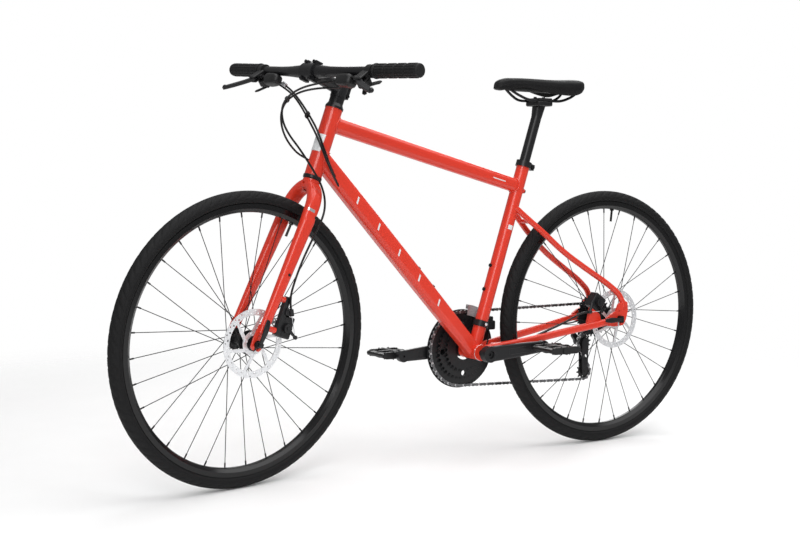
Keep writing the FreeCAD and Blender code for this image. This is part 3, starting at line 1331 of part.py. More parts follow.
def wedge(first, last):
    points = [(BB.x, BB.z)]
    for angle in (first, (first + last) / 2, last):
        spot = BB + polar(220, angle, 0)
        points.append((spot.x, spot.z))
    return plate_y(points, -90, 0)


def front_derailleur():
    band = sleeve(along_seat(66), along_seat(82), SEAT_TUBE_RADIUS + 3.2, SEAT_TUBE_RADIUS + 0.02)
    body = softened(block(BB + V(-82, -32.5, 50), BB + V(-26, -14, 74)), 4.0)
    upper = softened(block(BB + V(-76, -32, 70), BB + V(-54, -16, 85)), 3.0)
    clamp = disc_y(along_seat(74), SEAT_TUBE_RADIUS + 1, SEAT_TUBE_RADIUS + 6, 5.5)
    pieces = joined([band, body, upper, clamp]).cut(rod(BB, along_seat(300), SEAT_TUBE_RADIUS + 0.02))
    save("front_derailleur", pieces)
    outer = ring_y(BB, -62.4, -61.2, 117, 105.5).common(wedge(100, 140))
    inner = ring_y(BB, -47.8, -46.4, 117, 89).common(wedge(98, 140))
    top = ring_y(BB, -62.4, -46.4, 117, 114.2).common(wedge(103, 111))
    rear = ring_y(BB, -62.4, -46.4, 109, 105.5).common(wedge(134, 139))
    arm = block(BB + V(-67, -47, 85.5), BB + V(-55, -21, 93.5))
    save("fd_cage", joined([outer, inner, top, rear, arm]))


# Seat
def seat_parts():
    post_low = along_seat(385)
    post = rod(post_low, along_seat(POST_TOP), SEATPOST_RADIUS)
    post = post.cut(rod(post_low - seat_up, along_seat(POST_TOP - 25), SEATPOST_RADIUS - 2.5))
    top = along_seat(POST_TOP)
    x = top.x - 4
    cradle = softened(block(V(x - 24, -28, RAIL_HEIGHT - 14), V(x + 24, 28, RAIL_HEIGHT - 0.4)), 4.0)
    neck = loft([section(along_seat(POST_TOP - 14), AXIS_Y, seat_forward, 13.5, 13.5, 12.5),
                 section(V(x, 0, RAIL_HEIGHT - 9), AXIS_Y, AXIS_X, 15, 17, 12)])
    upper = softened(block(V(x - 22, -28, RAIL_HEIGHT + 0.4), V(x + 22, 28, RAIL_HEIGHT + 7)), 2.5)
    rails = []
    for side in (-1, 1):
        points = [V(x + 109, side * 7, RAIL_HEIGHT + 30), V(x + 86, side * 13, RAIL_HEIGHT + 15),
                  V(x + 54, side * 22, RAIL_HEIGHT), V(x - 56, side * 22, RAIL_HEIGHT),
                  V(x - 88, side * 28, RAIL_HEIGHT + 13), V(x - 108, side * 34, RAIL_HEIGHT + 31)]
        rails.append(tube_along(points, RAIL_RADIUS, "saddle rail"))
    grooves = Part.makeCompound(rails)
    screws = []
    for offset in (-14, 14):
        spot = V(x + offset, 0, RAIL_HEIGHT + 7)
        screws.append(bolt(spot, AXIS_Z, 18.0, 4.2, 3.5))
    holes = Part.makeCompound(screws)
    base = joined([post, cradle, neck]).cut(grooves).cut(holes)
    save("seatpost", [base, upper.cut(grooves).cut(holes)] + screws)
    length = SADDLE_NOSE - SADDLE_TAIL
    stations = ((0, 8, -31, -26, -21), (0.03, 16, -35, -21, -10), (0.11, 20, -36, -15, -2),
                (0.27, 23, -36, -13, 0), (0.47, 31, -35, -15, -1), (0.68, 51, -33, -17, 0),
                (0.83, 67, -30, -17, 1.5), (0.93, 69, -28, -17, 2), (1.0, 55, -23, -17, -4))
    stations = [(SADDLE_NOSE - length * share, wide, SADDLE_TOP + low, SADDLE_TOP + brim, SADDLE_TOP + crown)
                for share, wide, low, brim, crown in stations]
    wires = []
    for at, wide, low, brim, crown in stations:
        left = V(at, wide, brim)
        right = V(at, -wide, brim)
        edges = [Part.Arc(left, V(at, 0, crown), right).toShape(),
                 Part.LineSegment(right, V(at, -wide * 0.82, low)).toShape(),
                 Part.LineSegment(V(at, -wide * 0.82, low), V(at, wide * 0.82, low)).toShape(),
                 Part.LineSegment(V(at, wide * 0.82, low), left).toShape()]
        wires.append(Part.Wire(edges))
    saddle = loft(wires).cut(grooves)
    save("saddle", max(saddle.Solids, key=lambda s: s.Volume))
    save("saddle_rails", rails)


os.makedirs("parts", exist_ok=True)
front_wheel()
rear_wheel()
axles()
frame_tubes()
rear_triangle()
headset()
seat_clamp()
fork()
stem()
handlebar()
grips()
controls()
front_caliper()
rear_caliper()
steer_cables()
front_brake_cable()
rear_cables()
drivetrain()
front_derailleur()
seat_parts()
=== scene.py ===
"""Finish of a flat-bar hybrid bike: materials, soft pieces, cables, trim and a studio stage.

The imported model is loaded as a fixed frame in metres. +X points to the front wheel, +Y to the
rider's left and +Z up, with the origin on the ground midway between the wheels.
"""

import math

import bmesh
import bpy
from bpy.props import FloatProperty, FloatVectorProperty, IntProperty, PointerProperty
from mathutils import Matrix, Vector
from mathutils.bvhtree import BVHTree


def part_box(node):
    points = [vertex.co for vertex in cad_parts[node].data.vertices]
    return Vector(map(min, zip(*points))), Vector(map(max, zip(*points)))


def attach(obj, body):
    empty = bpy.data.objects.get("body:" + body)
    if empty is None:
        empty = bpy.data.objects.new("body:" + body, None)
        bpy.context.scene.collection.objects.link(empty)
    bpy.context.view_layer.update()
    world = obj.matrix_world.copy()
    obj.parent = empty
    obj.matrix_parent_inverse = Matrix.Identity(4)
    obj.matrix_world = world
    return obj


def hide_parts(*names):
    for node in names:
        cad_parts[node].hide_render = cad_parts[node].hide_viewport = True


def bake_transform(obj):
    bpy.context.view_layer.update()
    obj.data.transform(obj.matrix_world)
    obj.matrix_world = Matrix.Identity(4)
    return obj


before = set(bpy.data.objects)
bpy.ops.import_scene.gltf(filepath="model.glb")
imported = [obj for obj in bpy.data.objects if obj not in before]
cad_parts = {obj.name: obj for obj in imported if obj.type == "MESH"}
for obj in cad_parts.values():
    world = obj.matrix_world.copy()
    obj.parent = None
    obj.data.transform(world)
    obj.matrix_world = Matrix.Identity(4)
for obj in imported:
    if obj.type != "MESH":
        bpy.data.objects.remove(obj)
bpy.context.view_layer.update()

bl_info = {
    "name": "Hybrid bike finish",
    "version": (1, 0, 0),
    "blender": (4, 5, 0),
    "location": "View3D > Sidebar > Bike",
    "description": "Dresses the packed hybrid bike with materials, soft pieces, cables and trim",
    "category": "Object",
}

MM = 0.001
ACROSS = Vector((0, 1, 0))
UP = Vector((0, 0, 1))
SIDES = ((1, "left"), (-1, "right"))

AXLE_HEIGHT = 0.346
REAR_AXLE = Vector((-0.5465, 0.0, AXLE_HEIGHT))
HEAD_ANGLE = math.radians(70.7)
STEER_REST = math.radians(9.25)
FORK_RAKE = 0.048
CHAINSTAY = 0.440
BB_DROP = 0.0683
SEAT_ANGLE = math.radians(72.4)

fork_forward = Vector((math.sin(HEAD_ANGLE), 0.0, math.cos(HEAD_ANGLE)))
fork_up = Vector((-math.cos(HEAD_ANGLE), 0.0, math.sin(HEAD_ANGLE)))
steer_foot = Vector((-REAR_AXLE.x, 0.0, AXLE_HEIGHT)) - fork_forward * FORK_RAKE
steer_x = fork_forward * math.cos(STEER_REST) + ACROSS * math.sin(STEER_REST)
steer_y = ACROSS * math.cos(STEER_REST) - fork_forward * math.sin(STEER_REST)
front_axle = steer_foot + steer_x * FORK_RAKE
bottom_bracket = REAR_AXLE + Vector((math.sqrt(CHAINSTAY ** 2 - BB_DROP ** 2), 0.0, -BB_DROP))
seat_up = Vector((-math.cos(SEAT_ANGLE), 0.0, math.sin(SEAT_ANGLE)))

# Bar and controls, in fork axes and millimetres
BAR_KNEE = Vector((94.0, 75.0, 643.0))
BAR_END = Vector((74.4, 350.0, 655.0))
CONTROL_OUT = 205.0
bar_along = (BAR_END - BAR_KNEE).normalized()
control_origin = BAR_KNEE + bar_along * ((CONTROL_OUT - BAR_KNEE.y) / bar_along.y)
reach_way = Vector((0.61, 0.0, -0.79))
control_p = (reach_way - bar_along * reach_way.dot(bar_along)).normalized()
control_n = control_p.cross(bar_along)


def on_steer(point):
    """Point in fork axes, in millimetres, as a point of the frame in metres."""
    point = Vector(point) * MM
    return steer_foot + steer_x * point.x + steer_y * point.y + fork_up * point.z


def on_head(point):
    """Point in head-tube axes, which don't turn with the fork, in metres."""
    point = Vector(point) * MM
    return steer_foot + fork_forward * point.x + ACROSS * point.y + fork_up * point.z


def control_point(p, q, n, side=1):
    """Point in the axes of a brake and shift control, as a point in fork axes."""
    spot = control_origin + control_p * p + bar_along * q + control_n * n
    return Vector((spot.x, side * spot.y, spot.z))


# Ends of the tubes' middle lines
seat_top = bottom_bracket + seat_up * 0.446
top_head = on_head((0, 0, 551))
down_head = on_head((0, 0, 468))


class BikePaint(bpy.types.PropertyGroup):
    """Colours and gloss of the frame, the black parts and the bright steel"""

    frame_colour: FloatVectorProperty(
        name="Frame", description="Gloss paint of the frame and fork", subtype="COLOR",
        size=3, min=0, max=1, default=(0.73, 0.040, 0.018))
    black_colour: FloatVectorProperty(
        name="Black parts", description="Satin black of the alloy parts", subtype="COLOR",
        size=3, min=0, max=1, default=(0.009, 0.009, 0.010))
    steel_colour: FloatVectorProperty(
        name="Bright steel", description="Brushed steel of the rotors and fittings", subtype="COLOR",
        size=3, min=0, max=1, default=(0.74, 0.75, 0.77))
    print_colour: FloatVectorProperty(
        name="Stripes", description="Pale plain stripes and plates", subtype="COLOR",
        size=3, min=0, max=1, default=(0.78, 0.79, 0.80))
    paint_roughness: FloatProperty(
        name="Paint roughness", description="Roughness under the clear coat", default=0.30, min=0, max=1)


class BikeTyre(bpy.types.PropertyGroup):
    """Tread of the two tyres"""

    pitches: IntProperty(
        name="Tread pitches", description="Slanted grooves round each shoulder", default=84, min=24, max=140)
    groove: FloatProperty(
        name="Groove depth", description="Depth of the shoulder grooves", default=0.0012,
        min=0, max=0.003, unit="LENGTH")
    steps: IntProperty(
        name="Steps per pitch", description="Mesh steps along one pitch", default=10, min=6, max=16)


class BikeGrip(bpy.types.PropertyGroup):
    """Ribs of the handlebar grips"""

    ribs: IntProperty(name="Ribs", description="Lengthwise ribs round a grip", default=16, min=8, max=48)
    rib_height: FloatProperty(
        name="Rib height", description="Height of a rib", default=0.0013, min=0, max=0.003, unit="LENGTH")


class BikeSaddle(bpy.types.PropertyGroup):
    """Form of the padded saddle"""

    channel: FloatProperty(
        name="Channel depth", description="Depth of the relief along the middle", default=0.0035,
        min=0, max=0.01, unit="LENGTH")
    seam: FloatProperty(
        name="Seam depth", description="Depth of the sewn edge seam", default=0.0012,
        min=0, max=0.004, unit="LENGTH")


class BikeStage(bpy.types.PropertyGroup):
    """Camera and studio"""

    camera_at: FloatVectorProperty(
        name="Camera", description="Place of the camera", size=3, subtype="XYZ", unit="LENGTH",
        default=(1.8272, 2.6728, 0.7375))
    yaw: FloatProperty(name="Yaw", description="Heading of the view", unit="ROTATION", default=-2.1404)
    pitch: FloatProperty(name="Pitch", description="Tilt of the view", unit="ROTATION", default=-0.0801)
    roll: FloatProperty(name="Roll", description="Roll of the view", unit="ROTATION", default=0.0115)
    lens: FloatProperty(
        name="Lens", description="Focal length in millimetres", default=57.83, min=20, max=200)
    floor_colour: FloatVectorProperty(
        name="Floor", description="Colour of the studio floor", subtype="COLOR", size=3, min=0, max=1,
        default=(0.90, 0.90, 0.90))


def surface(name, first, second, rough, metallic=0.0, scale=180.0, bump=0.0, coat=0.0, stretch=(1, 1, 1),
            cells=False, specular=0.5):
    """Material whose colour, roughness and relief vary with a texture fixed to the object."""
    material = bpy.data.materials.new(name)
    material.use_nodes = True
    nodes = material.node_tree.nodes
    links = material.node_tree.links
    shader = nodes["Principled BSDF"]
    shader.inputs["Metallic"].default_value = metallic
    shader.inputs["Coat Weight"].default_value = coat
    shader.inputs["Coat Roughness"].default_value = 0.06
    shader.inputs["Specular IOR Level"].default_value = specular
    place = nodes.new("ShaderNodeTexCoord")
    mapping = nodes.new("ShaderNodeMapping")
    mapping.inputs["Scale"].default_value = stretch
    links.new(place.outputs["Object"], mapping.inputs["Vector"])
    grain = nodes.new("ShaderNodeTexNoise")
    grain.inputs["Scale"].default_value = scale
    grain.inputs["Detail"].default_value = 4.0
    links.new(mapping.outputs["Vector"], grain.inputs["Vector"])
    ramp = nodes.new("ShaderNodeValToRGB")
    for stop, position, colour in zip(ramp.color_ramp.elements, (0.3, 0.7), (first, second)):
        stop.position = position
        stop.color = (*colour, 1.0)
    links.new(grain.outputs["Fac"], ramp.inputs["Fac"])
    links.new(ramp.outputs["Color"], shader.inputs["Base Color"])
    spread = nodes.new("ShaderNodeMapRange")
    spread.inputs["To Min"].default_value = rough[0]
    spread.inputs["To Max"].default_value = rough[1]
    links.new(grain.outputs["Fac"], spread.inputs["Value"])
    links.new(spread.outputs["Result"], shader.inputs["Roughness"])
    if bump:
        relief = nodes.new("ShaderNodeBump")
        relief.inputs["Strength"].default_value = bump
        relief.inputs["Distance"].default_value = 0.0006
        source = grain.outputs["Fac"]
        if cells:
            leather = nodes.new("ShaderNodeTexVoronoi")
            leather.inputs["Scale"].default_value = scale * 2.2
            links.new(mapping.outputs["Vector"], leather.inputs["Vector"])
            source = leather.outputs["Distance"]
        links.new(source, relief.inputs["Height"])
        links.new(relief.outputs["Normal"], shader.inputs["Normal"])
    return material


def tint(colour, factor):
    """Colour made darker or lighter by a factor."""
    return tuple(min(1.0, c * factor) for c in colour)


def grey(value, blue=0.0005):
    """Cool grey, a little more blue than red and green."""
    return (value, value, value + blue)


NODE_FINISH = {
    "paint": ("head_tube", "top_tube", "down_tube", "seat_tube", "bottom_bracket", "chainstays", "seatstays",
              "fork"),
    "black": ("headset_cups", "seat_collar", "stem", "handlebar", "front_hub", "rear_hub", "left_crank",
              "right_crank", "chainrings", "seatpost", "front_caliper", "rear_caliper", "front_brake_arm",
              "rear_brake_arm", "left_brake_lever", "right_brake_lever", "front_quick_release",
              "rear_quick_release", "rd_mount", "rd_cage", "rd_links", "front_derailleur"),
    "rim": ("front_rim", "rear_rim"),
    "spoke": ("front_spokes", "rear_spokes"),
    "dark_steel": ("cassette", "frame_bolts", "front_axle", "rear_axle", "crank_spindle", "saddle_rails"),
    "chain_steel": ("chain",),
    "bright": ("front_rotor", "rear_rotor"),
    "link": ("fd_cage",),
    "tyre": ("front_tyre", "rear_tyre"),
    "grip": ("grips",),
    "saddle": ("saddle",),
    "plastic": ("control_bodies", "left_shift_lever", "right_shift_lever", "left_release_trigger",
                "right_release_trigger", "left_pedal", "right_pedal", "guide_pulley", "tension_pulley"),
    "housing": ("control_cables", "rear_cables", "front_brake_cable"),
}


def finish(name):
    """Material of one finish, made by the materials operator."""
    material = bpy.data.materials.get("bike_" + name)
    if material is None:
        raise RuntimeError("run the materials operator first: no finish " + name)
    return material


def new_piece(name, mesh, finish_name, body=None, smooth=35.0):
    """Object of a mesh with one finish, shaded smooth below an angle, riding on a body."""
    mesh.materials.clear()
    mesh.materials.append(finish(finish_name))
    for polygon in mesh.polygons:
        polygon.use_smooth = True
    mesh.set_sharp_from_angle(angle=math.radians(smooth))
    piece = bpy.data.objects.new(name, mesh)
    bpy.context.scene.collection.objects.link(piece)
    if body is not None:
        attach(piece, body)
    return piece


def mesh_of(name, points, faces):
    """Mesh of points and faces with all its normals outward."""
    mesh = bpy.data.meshes.new(name)
    mesh.from_pydata([tuple(p) for p in points], [], faces)
    mesh.validate()
    shell = bmesh.new()
    shell.from_mesh(mesh)
    bmesh.ops.recalc_face_normals(shell, faces=shell.faces)
    shell.to_mesh(mesh)
    shell.free()
    return mesh


def circle(count, offset=0.0):
    """Cosine and sine of equal steps once round."""
    return [(math.cos(a), math.sin(a)) for a in (2 * math.pi * (k + offset) / count for k in range(count))]


def squarish(value, power):
    """Cosine or sine raised to a power with its sign kept, which makes a circle fuller."""
    return math.copysign(abs(value) ** power, value)


def eased(value, start, rise, stop, fall):
    """1 well between start and stop, 0 outside them, with a straight ramp inside each."""
    return max(0.0, min(1.0, (value - start) / rise, (stop - value) / fall))


def lofted(rings, closed=False):
    """Points and faces of a skin over rings of equally many points, capped unless the path is closed."""
    count = len(rings[0])
    points = [p for ring in rings for p in ring]
    faces = []
    last = len(rings) if closed else len(rings) - 1
    for i in range(last):
        a = i * count
        b = ((i + 1) % len(rings)) * count
        for j in range(count):
            k = (j + 1) % count
            faces.append((a + j, a + k, b + k, b + j))
    if not closed:
        faces.append(tuple(range(count)))
        faces.append(tuple(range((len(rings) - 1) * count, len(rings) * count)))
    return points, faces


def skinned(name, rings, finish_name, body=None, smooth=35.0, closed=False):
    """Piece whose skin runs over rings of points."""
    return new_piece(name, mesh_of(name, *lofted(rings, closed)), finish_name, body, smooth)


def tube_rings(path, radius, sides=14):
    """Rings of a round tube along a path, turned as little as possible from one to the next."""
    rings = []
    side = None
    for i, spot in enumerate(path):
        way = (path[min(i + 1, len(path) - 1)] - path[max(i - 1, 0)]).normalized()
        if side is None:
            side = way.orthogonal().normalized()
        side = (side - way * side.dot(way)).normalized()
        other = way.cross(side)
        wide = radius(i) if callable(radius) else radius
        rings.append([spot + (side * c + other * s) * wide for c, s in circle(sides)])
    return rings


def bead_rings(path, axis, radius, sides):
    """Rings of a round bead along a closed path, set square to an axis that the path goes round."""
    rings = []
    for k, spot in enumerate(path):
        way = (path[(k + 1) % len(path)] - path[k - 1]).normalized()
        first = (axis - way * axis.dot(way)).normalized()
        second = way.cross(first)
        rings.append([spot + (first * c + second * s) * radius for c, s in circle(sides)])
    return rings


def around(axis_start, axis, profile, sides, shape=None):
    """Rings turned about an axis; profile lists (distance, radius), shape changes a radius."""
    axis = axis.normalized()
    side = axis.orthogonal().normalized()
    other = axis.cross(side)
    rings = []
    for distance, radius in profile:
        ring = []
        for k, (c, s) in enumerate(circle(sides)):
            r = shape(distance, radius, 2 * math.pi * k / sides) if shape else radius
            ring.append(axis_start + axis * distance + (side * c + other * s) * r)
        rings.append(ring)
    return rings


def surface_tree(mesh):
    """Search tree of a mesh's surface."""
    return BVHTree.FromPolygons([v.co for v in mesh.vertices], [tuple(p.vertices) for p in mesh.polygons])


def node_tree(node):
    """Search tree of a CAD node's surface."""
    return surface_tree(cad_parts[node].data)


def node_solids(node):
    """Faces of a CAD node, grouped by connected solid, as lists of points and faces."""
    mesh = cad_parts[node].data
    key_of = {}
    index = []
    for vertex in mesh.vertices:
        key = tuple(round(c, 6) for c in vertex.co)
        index.append(key_of.setdefault(key, len(key_of)))
    points = [None] * len(key_of)
    for vertex, i in zip(mesh.vertices, index):
        points[i] = vertex.co.copy()
    parent = list(range(len(points)))

    def root(i):
        while parent[i] != i:
            parent[i] = parent[parent[i]]
            i = parent[i]
        return i

    faces = []
    for polygon in mesh.polygons:
        corners = [index[v] for v in polygon.vertices]
        faces.append(corners)
        for other in corners[1:]:
            parent[root(other)] = root(corners[0])
    groups = {}
    for number, corners in enumerate(faces):
        if len(set(corners)) > 2:
            groups.setdefault(root(corners[0]), []).append(number)
    return points, faces, list(groups.values())


def solid_centre(points, faces, group):
    """Middle of a solid's box."""
    corners = [points[i] for number in group for i in faces[number]]
    low = Vector(min(p[k] for p in corners) for k in range(3))
    high = Vector(max(p[k] for p in corners) for k in range(3))
    return (low + high) / 2


def copied_mesh(name, points, faces, groups):
    """Mesh of some solids of a node, with shared corners."""
    kept = {}
    out_points = []
    out_faces = []
    for group in groups:
        for number in group:
            corners = []
            for i in faces[number]:
                if i not in kept:
                    kept[i] = len(out_points)
                    out_points.append(points[i])
                if not corners or corners[-1] != kept[i]:
                    corners.append(kept[i])
            if len(set(corners)) > 2:
                out_faces.append(corners)
    return mesh_of(name, out_points, out_faces)


class BIKE_OT_materials(bpy.types.Operator):
    """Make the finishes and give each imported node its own"""

    bl_idname = "bike.materials"
    bl_label = "Materials"

    cup_side = 0.03

    def execute(self, context):
        paint = context.scene.bike_paint
        red = tuple(paint.frame_colour)
        black = tuple(paint.black_colour)
        steel = tuple(paint.steel_colour)
        pale = tuple(paint.print_colour)
        gloss = paint.paint_roughness
        surface("bike_paint", red, tint(red, 0.93), (gloss, gloss + 0.06),
                scale=420.0, coat=0.40, bump=0.02, specular=0.35)
        surface("bike_black", black, tint(black, 1.6), (0.26, 0.38), scale=650.0, bump=0.04, specular=0.32)
        surface("bike_rim", tint(black, 0.4), tint(black, 0.7), (0.14, 0.20), scale=300.0, specular=0.36)
        surface("bike_spoke", tint(black, 0.8), tint(black, 1.4), (0.34, 0.46), scale=400.0, specular=0.25)
        surface("bike_dark_steel", tint(black, 1.6), tint(black, 2.6), (0.28, 0.40),
                metallic=0.7, scale=500.0)
        surface("bike_chain_steel", grey(0.10, 0.005), grey(0.20, 0.005), (0.24, 0.42),
                metallic=0.9, scale=260.0)
        surface("bike_link", grey(0.46, 0.01), grey(0.62, 0.01), (0.24, 0.36), metallic=0.7, scale=260.0)
        surface("bike_bright", tint(steel, 1.12), steel, (0.22, 0.38),
                metallic=0.5, scale=90.0, stretch=(1, 14, 1), bump=0.03)
        surface("bike_silver", tint(steel, 1.1), steel, (0.18, 0.28), metallic=0.9, scale=700.0)
        surface("bike_tyre", grey(0.006), grey(0.012), (0.60, 0.80), scale=520.0, bump=0.22, specular=0.22)
        surface("bike_grip", grey(0.006), grey(0.012), (0.5, 0.7), scale=800.0, bump=0.2, specular=0.3)
        surface("bike_saddle", grey(0.006), grey(0.012), (0.42, 0.58),
                scale=420.0, bump=0.35, cells=True, specular=0.16)
        surface("bike_thread", grey(0.05, 0.002), grey(0.09, 0.002), (0.7, 0.85), scale=2200.0, bump=0.3)
        surface("bike_plastic", grey(0.008), grey(0.015), (0.36, 0.5), scale=900.0, bump=0.1, specular=0.35)
        surface("bike_housing", grey(0.005), grey(0.010), (0.24, 0.34), scale=500.0, bump=0.04, specular=0.3)
        surface("bike_print", pale, tint(pale, 0.94), (0.30, 0.38), scale=380.0, coat=0.4)
        for name, nodes in NODE_FINISH.items():
            for node in nodes:
                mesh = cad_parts[node].data
                mesh.materials.clear()
                mesh.materials.append(finish(name))
                for polygon in mesh.polygons:
                    polygon.material_index = 0
        missing = sorted(set(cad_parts) - {n for nodes in NODE_FINISH.values() for n in nodes})
        if missing:
            raise RuntimeError("nodes with no finish: " + ", ".join(missing))
        self.black_cups()
        return {"FINISHED"}

    def black_cups(self):
        """Give the cups at both ends of the bottom bracket the black finish."""
        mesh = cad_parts["bottom_bracket"].data
        mesh.materials.append(finish("black"))
        points, faces, groups = node_solids("bottom_bracket")
        for group in groups:
            if abs(solid_centre(points, faces, group).y) > self.cup_side:
                for number in group:
                    mesh.polygons[number].material_index = 1


class BIKE_OT_tyres(bpy.types.Operator):
    """Build both tyres with slanted shoulder grooves, in place of the plain rings"""

    bl_idname = "bike.tyres"
    bl_label = "Tyres"

    middle = 0.3285
    outer = 0.0175
    inner = 0.0143
    crown_reach = 118
    crown_steps = 58
    bead = ((0.3182, 0.00945), (0.3112, 0.00945), (0.3112, 0.0062), (0.3190, 0.0062), (0.3203, 0.0117))
    shoulder = math.radians(80)
    centre_line = 0.05
    groove_start = 0.16
    groove_slant = 1.15
    groove_width = 0.36
    groove_flank = 0.05
    line_angles = (92, 104)
    line_steps = 240
    line_radius = 0.0005
    line_height = 0.00015

    def section(self):
        """Angles across the crown, then the fixed sidewall, bead and inner points (radius, across)."""
        reach = self.crown_reach
        steps = self.crown_steps
        angles = [math.radians(-reach + 2 * reach * k / steps) for k in range(steps + 1)]
        inside = [(self.middle + self.inner * math.cos(a), self.inner * math.sin(a))
                  for a in (math.radians(120 - 20 * k) for k in range(13))]
        mirror = [(r, -y) for r, y in reversed(self.bead)]
        return angles, list(self.bead) + inside + mirror

    def depth(self, tread, turn, angle):
        """Depth of the tread at a turn of the wheel and an angle across the crown."""
        share = abs(angle) / self.shoulder
        if share < self.centre_line:
            return tread.groove * 0.5
        if not self.groove_start < share < 1.0:
            return 0.0
        stagger = 0.5 if angle < 0 else 0.0
        phase = (tread.pitches * turn / (2 * math.pi) + self.groove_slant * share + stagger) % 1.0
        across = eased(phase, 0.0, self.groove_flank, self.groove_width, self.groove_flank)
        return tread.groove * across * eased(share, self.groove_start, 0.08, 1.0, 0.10)

    def tyre(self, context, name, node, body, centre, across, up):
        """Tyre of one wheel, with its moulding lines."""
        tread = context.scene.bike_tyre
        forward = across.cross(up)
        angles, rest = self.section()
        count = tread.pitches * tread.steps
        rings = []
        for k in range(count):
            turn = 2 * math.pi * k / count
            radial = forward * math.cos(turn) + up * math.sin(turn)
            ring = []
            for a in angles:
                r = self.outer - self.depth(tread, turn, a)
                ring.append(centre + radial * (self.middle + r * math.cos(a)) + across * (r * math.sin(a)))
            for radius, y in rest:
                ring.append(centre + radial * radius + across * y)
            rings.append(ring)
        piece = skinned(name, rings, "tyre", body, smooth=50.0, closed=True)
        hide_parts(node)
        self.moulding_lines(name, body, centre, across, forward, up)

    def moulding_lines(self, name, body, centre, across, forward, up):
        """Raised rings on the sidewalls, as the mould leaves them."""
        r = self.outer + self.line_height
        for side in (-1, 1):
            for number, angle in enumerate(self.line_angles):
                a = math.radians(angle) * side
                hub = centre + across * (r * math.sin(a))
                radius = self.middle + r * math.cos(a)
                path = [hub + (forward * c + up * s) * radius for c, s in circle(self.line_steps)]
                rings = bead_rings(path, across, self.line_radius, 6)
                label = "%s_line_%s%d" % (name, "l" if side > 0 else "r", number)
                skinned(label, rings, "tyre", body, closed=True)

    def execute(self, context):
        self.tyre(context, "front_tread", "front_tyre", "front_wheel", front_axle, steer_y, fork_up)
        self.tyre(context, "rear_tread", "rear_tyre", "rear_wheel", REAR_AXLE, ACROSS, UP)
        return {"FINISHED"}


class BIKE_OT_grips(bpy.types.Operator):
    """Build the ribbed grips in place of the plain sleeves"""

    bl_idname = "bike.grips"
    bl_label = "Grips"

    length = 0.132
    flange = ((0.0, 0.0114), (0.0, 0.0168), (0.0006, 0.0176), (0.0020, 0.0178), (0.0036, 0.0176),
              (0.0042, 0.0164))
    sleeve = 0.0155
    sleeve_step = 0.0013
    cap = ((0.0005, 0.0158), (0.0019, 0.0154), (0.0030, 0.0146), (0.0037, 0.0132), (0.0040, 0.0110),
           (0.0041, 0.006), (0.0041, 0.001))
    ribs_from = 0.0052
    ribs_to = 0.1305
    rib_run_out = 0.003
    groove_shares = (0.27, 0.5, 0.73)
    groove_half = 0.0016
    groove_depth = 0.0004
    groove_run_out = 0.0015
    steps_per_rib = 12

    def execute(self, context):
        grip = context.scene.bike_grip
        profile = list(self.flange)
        profile += [(self.ribs_from + self.sleeve_step * k, self.sleeve) for k in range(97)]
        profile += [(self.length + d, r) for d, r in self.cap]
        grooves = [self.length * share + 0.0009 for share in self.groove_shares]

        def ribbed(distance, radius, angle):
            if distance < self.ribs_from or distance > self.ribs_to:
                return radius
            wave = max(0.0, math.sin(grip.ribs * angle)) ** 0.6
            near = min(abs(distance - g) for g in grooves)
            if near < self.groove_half:
                return radius - self.groove_depth
            fade = min(eased(distance, self.ribs_from, self.rib_run_out, self.ribs_to, self.rib_run_out),
                       (near - self.groove_half) / self.groove_run_out)
            return radius + grip.rib_height * wave * fade

        for side, label in SIDES:
            end = Vector((BAR_END.x, side * BAR_END.y, BAR_END.z))
            way = Vector((bar_along.x, side * bar_along.y, bar_along.z))
            tip = on_steer(end)
            axis = (tip - on_steer(end - way)).normalized()
            rings = around(tip - axis * self.length, axis, profile, grip.ribs * self.steps_per_rib, ribbed)
            piece = skinned(label + "_grip", rings, "grip", "front_end", smooth=40.0)
            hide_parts("grips")
        return {"FINISHED"}


# Share of the length, half width, lower edge, brim and crown, in millimetres from the saddle's top
SADDLE_STATIONS = (
    (0.00, 4, -29.5, -27.5, -25), (0.03, 14, -31, -22, -11.5), (0.06, 17, -32, -19, -6),
    (0.11, 20, -32.5, -15, -2), (0.16, 21, -30.5, -13, -0.5), (0.20, 22, -27.5, -12.5, 0),
    (0.27, 23, -25, -12, 0.8), (0.37, 27, -26.5, -12.5, 1), (0.47, 31, -31, -14, 0.8),
    (0.58, 40, -36.5, -15, 0.3), (0.68, 50, -40, -15.5, 0.5), (0.76, 59, -41.5, -15, 1.4),
    (0.83, 64, -40, -15, 2.4), (0.88, 62, -36, -15, 3), (0.93, 53, -31, -15.5, 3),
    (0.97, 40, -26, -15.5, 2), (1.00, 24, -22, -15, -2))
SADDLE_NOSE = -166.0
SADDLE_LENGTH = 274.0
SADDLE_TOP = 983.0


def saddle_at(share):
    """Half width, lower edge, brim and crown at a share of the length, smooth between the stations."""
    table = SADDLE_STATIONS
    for i in range(len(table) - 1):
        if share <= table[i + 1][0]:
            break
    a, b = table[i], table[i + 1]
    before = table[max(i - 1, 0)]
    after = table[min(i + 2, len(table) - 1)]
    t = (share - a[0]) / (b[0] - a[0])
    values = []
    for k in range(1, 5):
        slope_a = (b[k] - before[k]) / (b[0] - before[0]) * (b[0] - a[0])
        slope_b = (after[k] - a[k]) / (after[0] - a[0]) * (b[0] - a[0])
        values.append((2 * t ** 3 - 3 * t ** 2 + 1) * a[k] + (t ** 3 - 2 * t ** 2 + t) * slope_a
                      + (-2 * t ** 3 + 3 * t ** 2) * b[k] + (t ** 3 - t ** 2) * slope_b)
    return values


def on_saddle(share, y, z, setback=0.0):
    """Point at a share of the saddle's length, in millimetres from its top, as a point in metres."""
    return Vector((SADDLE_NOSE - SADDLE_LENGTH * share - setback, y, SADDLE_TOP + z)) * MM


